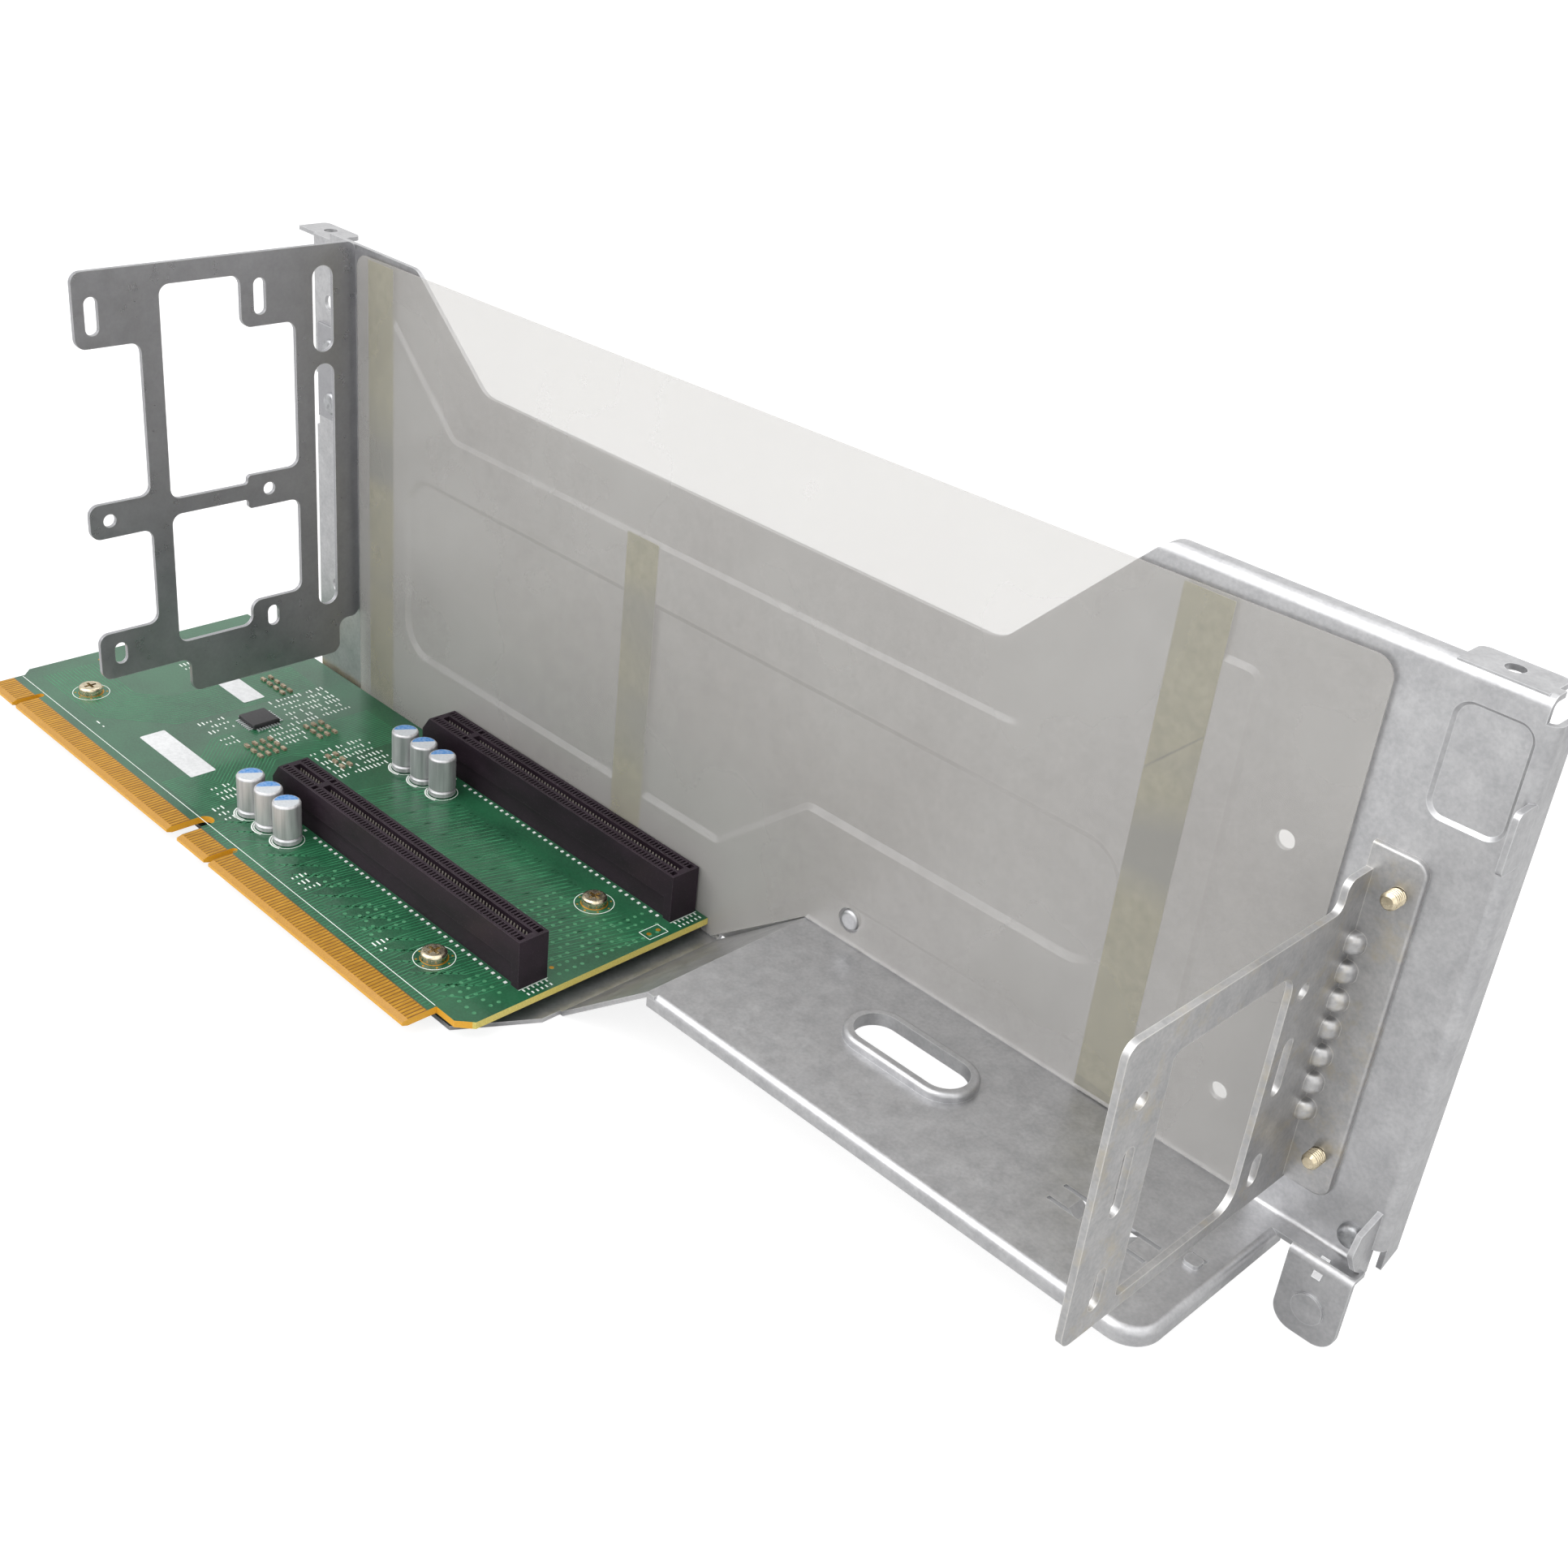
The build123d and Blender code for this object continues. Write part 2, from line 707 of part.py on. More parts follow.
with BuildPart() as carrier:
    with BuildSketch(across(wall_left)):
        add(low_section)
    extrude(amount=plate_right - wall_left)
    with BuildSketch(across(ramp_top_x)):
        add(high_section)
    extrude(amount=wall_right - bend_out - ramp_top_x)
    # Wall over the ramp, cut free of it by a slit.
    with BuildSketch(upright(front_wall)):
        with BuildLine():
            Polyline(
                (plate_right - 1, low_top + bend_in + relief_up),
                (plate_right + (bend_in + relief_up + ramp_skirt) / ramp_grade, low_top + bend_in + relief_up),
                (ramp_top_x, raised_z - ramp_skirt),
                (ramp_top_x + 1, raised_z + bend_in),
                (ramp_top_x + 1, left_top - 4),
                (plate_right - 1, left_top - 4),
                close=True,
            )
        make_face()
    extrude(amount=-sheet)
    # Low plate under the board, its right front corner cut off on a slant.
    with BuildSketch(level(low_bottom)) as low_plate:
        with BuildLine():
            Polyline(
                (plate_left, plate_front),
                (plate_right - 9.5, plate_front),
                (plate_right - 0.5, raised_front - 4.5),
                (plate_right - 0.5, raised_front),
                (plate_right, raised_front),
                (plate_right, front_wall - 5),
                (plate_left, front_wall - 5),
                close=True,
            )
        make_face()
        fillet(low_plate.vertices().group_by(Axis.X)[0], 3)
    extrude(amount=sheet)
    # Ramp up to the raised plate.
    with BuildSketch(upright(raised_front)) as ramp:
        skew = sheet * (1 / cos(ramp_angle) - 1) / (sin(ramp_angle) / cos(ramp_angle))
        with BuildLine():
            Polyline(
                (plate_right - 2, low_top),
                (plate_right, low_top),
                (ramp_top_x, raised_z),
                (ramp_top_x + 2, raised_z),
                (ramp_top_x + 2, raised_z - sheet),
                (ramp_top_x + skew, raised_z - sheet),
                (plate_right + skew, low_bottom),
                (plate_right - 2, low_bottom),
                close=True,
            )
        make_face()
    extrude(amount=-(front_wall - ramp_slit - raised_front))
    add(raised_plate.part)
    # Ledge behind the plate's end and the foot that hangs from it.
    with BuildSketch(across(foot_left)) as foot_section:
        with BuildLine():
            Polyline(
                (foot_y, foot_bottom),
                (foot_y, raised_z),
                (front_wall - 1, raised_z),
                (front_wall - 1, raised_z - sheet),
                (foot_y + sheet, raised_z - sheet),
                (foot_y + sheet, foot_bottom),
                close=True,
            )
        make_face()
        fillet(corner(foot_section, foot_y, raised_z), lip_round)
    extrude(amount=foot_right - foot_left)
    low_corners = [
        e
        for e in carrier.edges().filter_by(Axis.Y)
        if e.center().X > foot_left - mid_x - 0.1 and abs(e.center().Z - (foot_bottom - low_bottom)) < 0.01
    ]
    fillet(low_corners, foot_corner)
    # Staked stud on the foot, and the gusset pressed across its bend.
    foot_mid = (foot_left + foot_right) / 2
    with BuildSketch(upright(foot_y)):
        with Locations((foot_mid, foot_bottom + stake_up)):
            Circle(stake_d / 2)
    extrude(amount=stake_h)
    with BuildSketch(across(foot_mid - 0.8)):
        with BuildLine():
            Polyline(
                (foot_y + 0.2, raised_z - 3.4),
                (foot_y - 0.6, raised_z - 3.0),
                (foot_y + 1.4, raised_z + 0.4),
                (foot_y + 2.2, raised_z - 0.3),
                close=True,
            )
        make_face()
    extrude(amount=1.6)
    # Right edge of the wall returns to the rear.
    with BuildSketch(level(raised_z + 4)) as side_bend:
        with BuildLine():
            Polyline(
                (wall_right - bend_out - 1, front_wall),
                (wall_right, front_wall),
                (wall_right, back_wall + side_return),
                (wall_right - sheet, back_wall + side_return),
                (wall_right - sheet, back_wall),
                (wall_right - bend_out - 1, back_wall),
                close=True,
            )
        make_face()
        fillet(corner(side_bend, wall_right, front_wall), bend_out)
        fillet(corner(side_bend, wall_right - sheet, back_wall), bend_in)
    extrude(amount=right_top - raised_z - 8)
    # Lower end of that return, cut on a slant.
    with BuildSketch(across(wall_right - sheet)):
        with BuildLine():
            Polyline(
                (back_wall + side_return, raised_z + 5),
                (front_wall + bend_out, raised_z + 5),
                (front_wall + bend_out, hook_bottom + 1),
                (back_wall + side_return, hook_bottom + 3),
                close=True,
            )
        make_face()
    extrude(amount=sheet)
    # Hook turned forward from the wall beside the stud.
    with BuildSketch(across(hook_x)) as hook:
        with BuildLine():
            Polyline(
                (back_wall, hook_top),
                (front_wall, hook_top),
                (front_wall - hook_reach + 1.4, hook_top - 1.5),
                (front_wall - hook_reach, hook_top - 5.1),
                (front_wall - hook_reach + 3, hook_top - 9.7),
                (front_wall, hook_bottom),
                (back_wall, hook_bottom),
                close=True,
            )
        make_face()
        fillet(hook.vertices().group_by(Axis.X)[0], 1.0)
    extrude(amount=sheet)
    with BuildSketch(across(wall_right - sheet)):
        with Locations((front_wall - bend_out / 2, side_tab_z)):
            RectangleRounded(3 * bend_out, side_tab_len, 1.2)
    extrude(amount=sheet)
    # Opening in the top of the wall, wide at the top. Left of it the wall ends in a plain
    # edge, lower still at its left end.
    with BuildSketch(upright(front_wall - 1)) as opening:
        with BuildLine():
            Polyline(
                (cut_left_low, cut_z),
                (cut_right_low, cut_z),
                (cut_right_top, right_top),
                (cut_right_top + 2 * cut_shoulder, right_top),
                (cut_right_top + 2 * cut_shoulder, right_top + 2),
                (wall_left - 1, right_top + 2),
                (wall_left - 1, left_tab_z),
                (left_tab_end, left_tab_z),
                (left_tab_end, left_edge_z),
                (cut_left_top, left_edge_z),
                close=True,
            )
        make_face()
        fillet(corner(opening, cut_left_low, cut_z) + corner(opening, cut_right_low, cut_z), cut_round)
        shoulders = corner(opening, cut_left_top, left_edge_z) + corner(opening, cut_right_top, right_top)
        fillet(shoulders, cut_shoulder)
    extrude(amount=-(sheet + top_return + 6), mode=Mode.SUBTRACT)
    # Notch in the left edge of the wall, below the bracket's lug.
    with BuildSketch(upright(front_wall - 1)):
        with Locations((wall_left, (lug_low + lug_high) / 2 - 8)):
            Rectangle(2 * sheet, lug_high - lug_low - 10)
    extrude(amount=-(sheet + top_return + 6), mode=Mode.SUBTRACT)
    # Screw tabs that fold back from the top edge.
    for tab_x, tab_z in ((left_tab_x, left_tab_z), (right_tab_x, right_top)):
        with BuildSketch(level(tab_z - sheet)) as tab:
            with Locations((tab_x, front_wall + 0.8)):
                Rectangle(tab_w, tab_depth - 0.8, align=(Align.CENTER, Align.MIN))
            fillet(tab.vertices().group_by(Axis.Y)[-1], 1.6)
            with Locations((tab_x, front_wall + tab_depth / 2 + 0.6)):
                Circle(tab_hole / 2, mode=Mode.SUBTRACT)
        extrude(amount=sheet)
        with BuildSketch(level(tab_z - sheet)):
            with Locations((tab_x, front_wall + tab_depth / 2 + 0.6)):
                Circle(tab_hole / 2)
        extrude(amount=sheet + 3, both=True, mode=Mode.SUBTRACT)
    # The wall is pressed in two steps: a wide field towards the front, which follows
    # the opening above it and the ramp below it, and a panel sunk back inside it.
    field_points = [
        (field_left, low_top + bend_out + field_rise),
        (plate_right + field_rise, low_top + bend_out + field_rise),
        (ramp_top_x + field_rise, raised_z + bend_out + 2 * field_rise),
        (field_right, raised_z + bend_out + 2 * field_rise),
        (field_right, field_top),
        (cut_right_top + 0.45 * field_drop, field_top),
        (cut_right_low + 0.45 * field_drop, cut_z - field_drop),
        (cut_left_low - 0.8 * field_drop, cut_z - field_drop),
        (cut_left_top - 0.8 * field_drop, left_top - field_drop),
        (field_left, left_top - field_drop),
    ]
    panel_points = [
        (panel_left, panel_low),
        (plate_right - field_rise, panel_low),
        (ramp_top_x - field_rise, panel_high),
        (panel_right, panel_high),
        (panel_right, panel_top),
        (panel_left, panel_top),
    ]
    for face_y, mode in ((front_wall, Mode.ADD), (back_wall, Mode.SUBTRACT)):
        with BuildSketch(upright(face_y)) as field:
            with BuildLine():
                Polyline(*field_points, close=True)
            make_face()
            fillet(field.vertices(), field_round)
        extrude(amount=field_step, taper=press_slope, mode=mode)
    for face_y, mode in ((field_back, Mode.ADD), (field_front, Mode.SUBTRACT)):
        with BuildSketch(upright(face_y)) as panel:
            with BuildLine():
                Polyline(*panel_points, close=True)
            make_face()
            sides = panel.vertices().group_by(Axis.X)
            fillet(sides[0] + sides[-1], panel_round)
            fillet(corner(panel, *panel_points[1]) + corner(panel, *panel_points[2]), field_round)
        extrude(amount=-panel_depth, taper=press_slope, mode=mode)
    # Locating dimple that comes through the film.
    with BuildSketch(upright(front_wall)):
        with Locations((dimple_x, dimple_z)):
            Circle(dimple_d / 2)
    extrude(amount=dimple_h)
    dimple_face = carrier.faces().filter_by(
        lambda f: abs(f.center().Y - (front_wall - dimple_h - mid_y)) < 0.01 and f.area < 30
    )[0]
    fillet(dimple_face.edges(), dimple_h * 0.8)
    # Recess pressed at the top right and the open holes behind the film.
    for face_y, mode in ((back_wall, Mode.ADD), (front_wall, Mode.SUBTRACT)):
        with BuildSketch(upright(face_y)):
            with Locations((recess_x, recess_z)):
                RectangleRounded(recess_w, recess_h, recess_round)
        extrude(amount=-recess_depth, taper=recess_slope, mode=mode)
    with BuildSketch(upright(front_wall - 1)):
        with Locations(*wall_holes):
            Circle(wall_hole_d / 2)
        with Locations(*lug_places, (stud_x, stud_z)):
            Circle(rivet_shank / 2 + rivet_play)
        with Locations(*frame_screw_places):
            Circle(frame_screw_d / 2 + 2 * rivet_play)
    extrude(amount=-(sheet + 2), mode=Mode.SUBTRACT)
keep(carrier, "carrier_sheet")

# End bracket: flat plate with three ears, two stepped card openings and slots
window_rear = front_wall - window_rear_gap
skirt_rear = front_wall - skirt_rear_gap
with BuildPart() as end_bracket:
    with BuildSketch(across(bracket_x - bracket_t)) as plate:
        with Locations(((bracket_front + front_wall) / 2, (bracket_foot + bracket_top) / 2)):
            Rectangle(front_wall - bracket_front, bracket_top - bracket_foot)
        for low, high in ear_spans:
            with Locations(((ear_front + bracket_front) / 2 + 1, (low + high) / 2)):
                Rectangle(bracket_front + 2 - ear_front, high - low)
        with Locations(((skirt_front + skirt_rear) / 2, (skirt_bottom + bracket_foot) / 2)):
            Rectangle(skirt_rear - skirt_front, bracket_foot - skirt_bottom)
        fillet(plate.vertices(), bracket_round)
        # Each opening is wide beside the card and narrow beside its latch.
        for low, high, step_low, step_high in window_spans:
            with BuildSketch(mode=Mode.PRIVATE) as window:
                with Locations(((window_front + window_mid) / 2, (low + high) / 2)):
                    Rectangle(window_mid - window_front, high - low)
                with Locations(((window_front + window_rear) / 2, (step_low + step_high) / 2)):
                    Rectangle(window_rear - window_front, step_high - step_low)
                below, above = (low, step_low), (step_high, high)
                tight, free = (below, above) if step_low - low < high - step_high else (above, below)
                steps = corner(window, window_mid, tight[0]) + corner(window, window_mid, tight[1])
                fillet(steps, step_round)
                sides = window.vertices().group_by(Axis.X)
                shoulders = corner(window, window_mid, free[0]) + corner(window, window_mid, free[1])
                fillet(sides[0] + sides[-1] + shoulders, bracket_round)
            add(window.sketch, mode=Mode.SUBTRACT)
        for slot_mid_y, slot_mid_z, slot_run in latch_slots:
            with Locations((slot_mid_y, slot_mid_z)):
                SlotOverall(slot_run, latch_slot_w, rotation=90, mode=Mode.SUBTRACT)
        with Locations((card_hole_y, card_hole_z), (card_hole_y + card_hole_step, card_hole_z)):
            Circle(card_hole_d / 2, mode=Mode.SUBTRACT)
        for long_mid_z, long_run in long_slots:
            with Locations((front_wall - long_slot_gap, long_mid_z)):
                SlotOverall(long_run, long_slot_w, rotation=90, mode=Mode.SUBTRACT)
    extrude(amount=bracket_t)
    # Middle of the rear edge folds out and lies against the wall.
    with BuildSketch(level(lug_low)) as lug:
        with BuildLine():
            Polyline(
                (bracket_x, front_wall - 3),
                (bracket_x, front_wall),
                (bracket_x - lug_run, front_wall),
                (bracket_x - lug_run, front_wall - bracket_t),
                (bracket_x - bracket_t, front_wall - bracket_t),
                (bracket_x - bracket_t, front_wall - 3),
                close=True,
            )
        make_face()
        fillet(corner(lug, bracket_x - bracket_t, front_wall - bracket_t), 0.5)
    extrude(amount=lug_high - lug_low)
    with BuildSketch(upright(front_wall)):
        with Locations(*lug_places):
            Circle(rivet_shank / 2 + rivet_play)
    extrude(amount=bracket_t, mode=Mode.SUBTRACT)
keep(end_bracket, "end_bracket")


def rivets(places, seat_y, head_d, head_h, round_r):
    """Round heads on the face at seat_y, shanks through the wall and set tails behind."""
    with BuildPart() as group:
        with BuildSketch(upright(back_wall)):
            with Locations(*places):
                Circle(rivet_shank / 2)
        extrude(amount=back_wall - seat_y)
        with BuildSketch(upright(seat_y)):
            with Locations(*places):
                Circle(head_d / 2)
        extrude(amount=head_h)
        fillet(group.faces().group_by(Axis.Y)[0].edges(), round_r)
        with BuildSketch(upright(back_wall)):
            with Locations(*places):
                Circle(rivet_shank / 2 + rivet_tail)
        extrude(amount=-rivet_tail)
    return group


# Rivets that hold the bracket's lug to the wall
bracket_rivets = rivets(lug_places, front_wall - bracket_t, rivet_d, rivet_h, 0.7)
keep(bracket_rivets, "bracket_rivets")

# Round headed stud low at the right end of the wall
wall_stud = rivets([(stud_x, stud_z)], front_wall, stud_d, stud_h, 1.1)
keep(wall_stud, "wall_stud")

# Retaining frame: open ring square to the slots with a flange on the wall
with BuildPart() as end_frame:
    with BuildSketch(across(frame_x)) as ring:
        with Locations(((frame_front + front_wall) / 2, (frame_bottom + frame_top) / 2)):
            Rectangle(front_wall - frame_front, frame_top - frame_bottom)
        fillet(ring.vertices().group_by(Axis.X)[0], frame_round)
        with Locations((front_wall - horn_len / 2, (frame_bottom + frame_horn) / 2)):
            Rectangle(horn_len, frame_horn - frame_bottom)
        horn_corners = [v for v in ring.vertices() if abs(v.X - (front_wall - horn_len)) < 0.1]
        fillet(horn_corners, horn_len / 4)
        with BuildSketch(mode=Mode.PRIVATE) as frame_window:
            with Locations(((win_front + win_back) / 2, (win_bottom + win_top) / 2)):
                Rectangle(win_back - win_front, win_top - win_bottom)
            fillet(frame_window.vertices().group_by(Axis.X)[0], 0.6 * frame_round)
            fillet(frame_window.vertices().group_by(Axis.X)[-1], 1.6 * frame_round)
        add(frame_window.sketch, mode=Mode.SUBTRACT)
        with Locations((frame_hole_y, frame_hole_z), (frame_hole_y + frame_hole_step, frame_hole_z)):
            Circle(frame_hole_d / 2, mode=Mode.SUBTRACT)
        for slot_mid_y, slot_mid_z, slot_run in frame_slots:
            with Locations((slot_mid_y, slot_mid_z)):
                SlotOverall(slot_run, frame_slot_w, rotation=90, mode=Mode.SUBTRACT)
    extrude(amount=frame_t)
    with BuildSketch(upright(front_wall)) as flange:
        with Locations((frame_x + (flange_w + frame_t) / 2, (flange_bottom + flange_top) / 2)):
            Rectangle(flange_w + frame_t, flange_top - flange_bottom)
        fillet(flange.vertices().group_by(Axis.X)[-1], frame_round)
    extrude(amount=frame_t)
    flange_front = end_frame.edges().filter_by(
        lambda e: abs(e.center().Y - (front_wall - frame_t - mid_y)) < 0.01
        and e.center().X > frame_x + 2 * frame_t - mid_x
    )
    fillet(flange_front, 0.4 * frame_t)
    # Knuckles pressed across the fold stiffen it.
    with BuildPart(mode=Mode.PRIVATE) as knuckle_row:
        for i in range(knuckles):
            with BuildSketch(level(knuckle_first + i * knuckle_pitch)):
                with Locations((frame_x + frame_t, front_wall - frame_t)):
                    Circle(knuckle_r)
            extrude(amount=knuckle_len)
        fillet(knuckle_row.edges().filter_by(GeomType.CIRCLE), knuckle_round)
        with BuildSketch(level(flange_bottom)):
            with Locations((frame_x + frame_t / 2, front_wall - frame_t / 2)):
                Rectangle(2 * knuckle_r, 2 * knuckle_r, align=(Align.MIN, Align.MAX))
        extrude(amount=flange_top - flange_bottom, mode=Mode.INTERSECT)
    add(knuckle_row.part)
    with BuildSketch(upright(front_wall)):
        with Locations(*frame_screw_places):
            Circle(frame_screw_d / 2 + rivet_play)
    extrude(amount=frame_t, mode=Mode.SUBTRACT)
keep(end_frame, "end_frame")

# Screws of the frame: heads behind the wall, thread ends standing out in front
with BuildPart() as frame_screws:
    with BuildSketch(upright(back_wall)):
        with Locations(*frame_screw_places):
            Circle(frame_screw_d / 2)
    extrude(amount=sheet + frame_t + frame_screw_out)
    chamfer(frame_screws.faces().group_by(Axis.Y)[0].edges(), 0.4)
    with BuildSketch(upright(back_wall)):
        with Locations(*frame_screw_places):
            Circle(screw_head_d / 2)
    extrude(amount=-screw_head_h)
    fillet(frame_screws.faces().group_by(Axis.Y)[-1].edges(), 0.6)
keep(frame_screws, "frame_screws")

# Clear insulating film in front of the wall, cut along the ramp at its lower edge
film_back = field_front - tape_t
film_slant = (film_right_top - film_left_top) / (film_right - film_left)
with BuildPart() as film:
    with BuildSketch(upright(film_back)) as film_outline:
        with BuildLine():
            Polyline(
                (film_left, low_top + film_lift),
                (plate_right - 1.5, low_top + film_lift),
                (ramp_top_x, raised_z + film_lift),
                (film_right, raised_z + film_lift),
                (film_right, film_right_top),
                (film_left, film_left_top),
                close=True,
            )
        make_face()
        fillet(film_outline.vertices().sort_by(Axis.Y)[-2:], film_round)
        with Locations((dimple_x, dimple_z)):
            Circle(dimple_d / 2 + 0.4, mode=Mode.SUBTRACT)
    extrude(amount=film_t)
keep(film, "insulating_film")

# Adhesive strips between film and wall
for tape_name, tape_x in tape_xs.items():
    tape_low = (raised_z if tape_x > ramp_top_x else low_top) + film_lift + tape_inset
    tape_high = film_left_top + (tape_x - tape_w / 2 - film_left) * film_slant - tape_inset
    if cut_left_low < tape_x < cut_right_low:
        tape_high = cut_z - field_drop - tape_inset
    with BuildPart() as tape:
        with BuildSketch(upright(field_front)):
            with Locations((tape_x, (tape_low + tape_high) / 2)):
                Rectangle(tape_w, tape_high - tape_low)
        extrude(amount=tape_t)
    keep(tape, tape_name)
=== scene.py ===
"""Look of a riser card in its galvanised carrier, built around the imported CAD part."""

import math
import random

import bmesh
import bpy
from mathutils import Matrix, Vector


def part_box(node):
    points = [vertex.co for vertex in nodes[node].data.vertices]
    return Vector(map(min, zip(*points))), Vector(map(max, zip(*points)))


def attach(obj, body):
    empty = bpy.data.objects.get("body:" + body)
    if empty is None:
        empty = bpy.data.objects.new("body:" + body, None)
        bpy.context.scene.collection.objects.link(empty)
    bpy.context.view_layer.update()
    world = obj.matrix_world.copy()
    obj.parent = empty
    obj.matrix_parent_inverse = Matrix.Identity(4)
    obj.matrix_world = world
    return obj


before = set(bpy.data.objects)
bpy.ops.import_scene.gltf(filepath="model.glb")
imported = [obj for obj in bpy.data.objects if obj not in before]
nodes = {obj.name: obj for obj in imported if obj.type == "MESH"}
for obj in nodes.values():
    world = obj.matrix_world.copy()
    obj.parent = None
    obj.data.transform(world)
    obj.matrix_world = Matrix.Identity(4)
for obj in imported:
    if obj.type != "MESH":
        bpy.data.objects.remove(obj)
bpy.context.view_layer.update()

# Sizes below are in the board's millimetres: x along the slots, y back from the
# contact edge, z up from the upper face of the board.
MM = 0.001
BOARD_LEFT = -91.3
PRINT_H = 0.03
TRACE_H = 0.012
CHIP_BODY = 7.0
TONGUE_BARE = 5.9
TONGUE_DEPTH = 10.5
# Tops of the cans: the printed side, and shares of the radius where the print
# starts and the flat face ends
CAN_PRINT_SIDE = (-0.86, 0.51, 0.0)
CAN_PRINT_START = 0.12
CAN_FACE = 0.84

board_low, board_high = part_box("circuit_board")


def at(x, y, z=0.0):
    """A point of the board's own frame, in the row frame's metres."""
    return Vector((board_low[0] + (x - BOARD_LEFT) * MM, board_low[1] + y * MM, board_high[2] + z * MM))


def srgb(red, green, blue):
    """A colour as it looks on a screen, 0 to 255, as Blender's linear values."""
    levels = [level / 255 for level in (red, green, blue)]
    return tuple(v / 12.92 if v <= 0.04045 else ((v + 0.055) / 1.055) ** 2.4 for v in levels) + (1.0,)


class Finish:
    """A Principled material with the nodes that vary it over the surface."""

    def __init__(self, name, colour, metallic=0.0, roughness=0.5):
        self.material = bpy.data.materials.new(name)
        self.material.use_nodes = True
        self.tree = self.material.node_tree
        self.shader = self.tree.nodes["Principled BSDF"]
        self.set("Base Color", colour)
        self.set("Metallic", metallic)
        self.set("Roughness", roughness)

    def set(self, socket, value):
        """Gives a socket of the shader a constant, or a link from another node."""
        if isinstance(value, bpy.types.NodeSocket):
            self.tree.links.new(value, self.shader.inputs[socket])
        else:
            self.shader.inputs[socket].default_value = value

    def node(self, kind, inputs=(), **settings):
        """Adds a node, with its settings and its inputs by name or number."""
        node = self.tree.nodes.new(kind)
        for name, value in settings.items():
            setattr(node, name, value)
        for name, value in dict(inputs).items():
            if isinstance(value, bpy.types.NodeSocket):
                self.tree.links.new(value, node.inputs[name])
            else:
                node.inputs[name].default_value = value
        return node

    def place(self, stretch=(1, 1, 1)):
        """Object coordinates in millimetres, squeezed along each axis."""
        coordinates = self.node("ShaderNodeTexCoord").outputs["Object"]
        scale = [1000 * s for s in stretch]
        return self.node("ShaderNodeMapping", {"Vector": coordinates, "Scale": scale}).outputs[0]

    def noise(self, size, detail=3.0, rough=0.55, stretch=(1, 1, 1)):
        """Noise with grains of about size millimetres."""
        values = {"Vector": self.place(stretch), "Scale": 1 / size, "Detail": detail, "Roughness": rough}
        return self.node("ShaderNodeTexNoise", values).outputs["Fac"]

    def spread(self, value, low, high, start=0.35, stop=0.65):
        """Stretches a value between start and stop to the range low to high."""
        values = {"Value": value, "From Min": start, "From Max": stop, "To Min": low, "To Max": high}
        return self.node("ShaderNodeMapRange", values).outputs[0]

    def maths(self, operation, first, second=0.0):
        """One Math node."""
        return self.node("ShaderNodeMath", {0: first, 1: second}, operation=operation).outputs[0]

    def mix(self, factor, first, second):
        """Colour between first and second."""
        values = {"Factor": factor, 6: first, 7: second}
        return self.node("ShaderNodeMix", values, data_type="RGBA").outputs[2]

    def axis(self, socket, index):
        """One coordinate of a vector."""
        return self.node("ShaderNodeSeparateXYZ", {0: socket}).outputs[index]

    def normal(self):
        """The surface's own normal."""
        return self.node("ShaderNodeNewGeometry").outputs["Normal"]

    def edges(self, width):
        """1 along sharp edges, fading to 0 within about width millimetres; the mask of the painted edge
        highlights.
        """
        soft = self.node("ShaderNodeBevel", {"Radius": width * MM}, samples=4).outputs[0]
        values = {0: soft, 1: self.normal()}
        dot = self.node("ShaderNodeVectorMath", values, operation="DOT_PRODUCT").outputs["Value"]
        return self.spread(dot, 1.0, 0.0, 0.80, 0.995)

    def bump(self, height, strength, distance):
        """Bump from a height value, with its depth in millimetres."""
        values = {"Height": height, "Strength": strength, "Distance": distance * MM}
        self.set("Normal", self.node("ShaderNodeBump", values).outputs[0])


def sheet_metal(name, dark, light, bright, roughness=0.42, mottle=1.0, stain=None, metallic=0.84):
    """Zinc coated steel: cloudy patches, fine grain, a painted highlight along sharp edges and an uneven
    gloss.
    """
    metal = Finish(name, light, metallic)
    clouds = metal.spread(metal.noise(5.0, 5.0, 0.7), 0.0, 1.0)
    grain = metal.spread(metal.noise(0.7, 2.0, 0.5), 0.0, 1.0, 0.3, 0.7)
    tone = metal.maths("ADD", metal.maths("MULTIPLY", clouds, 0.6), metal.maths("MULTIPLY", grain, 0.4))
    colour = metal.mix(tone, dark, light)
    spots = metal.spread(metal.noise(1.7, 3.0, 0.55), 0.0, 0.5 * mottle, 0.62, 0.72)
    colour = metal.mix(spots, colour, dark)
    if stain:
        patches = metal.spread(metal.noise(6.0, 5.0, 0.7), 0.0, 0.8, 0.52, 0.72)
        colour = metal.mix(patches, colour, stain)
    # Painted highlight: a lighter colour along sharp edges, standing in for light caught there.
    colour = metal.mix(metal.edges(0.3), colour, bright)
    metal.set("Base Color", colour)
    metal.set("Roughness", metal.spread(metal.noise(4.0, 4.0, 0.65), roughness - 0.05, roughness + 0.06))
    metal.bump(metal.noise(0.45, 3.0, 0.6), 0.2 * mottle, 0.02)
    return metal.material


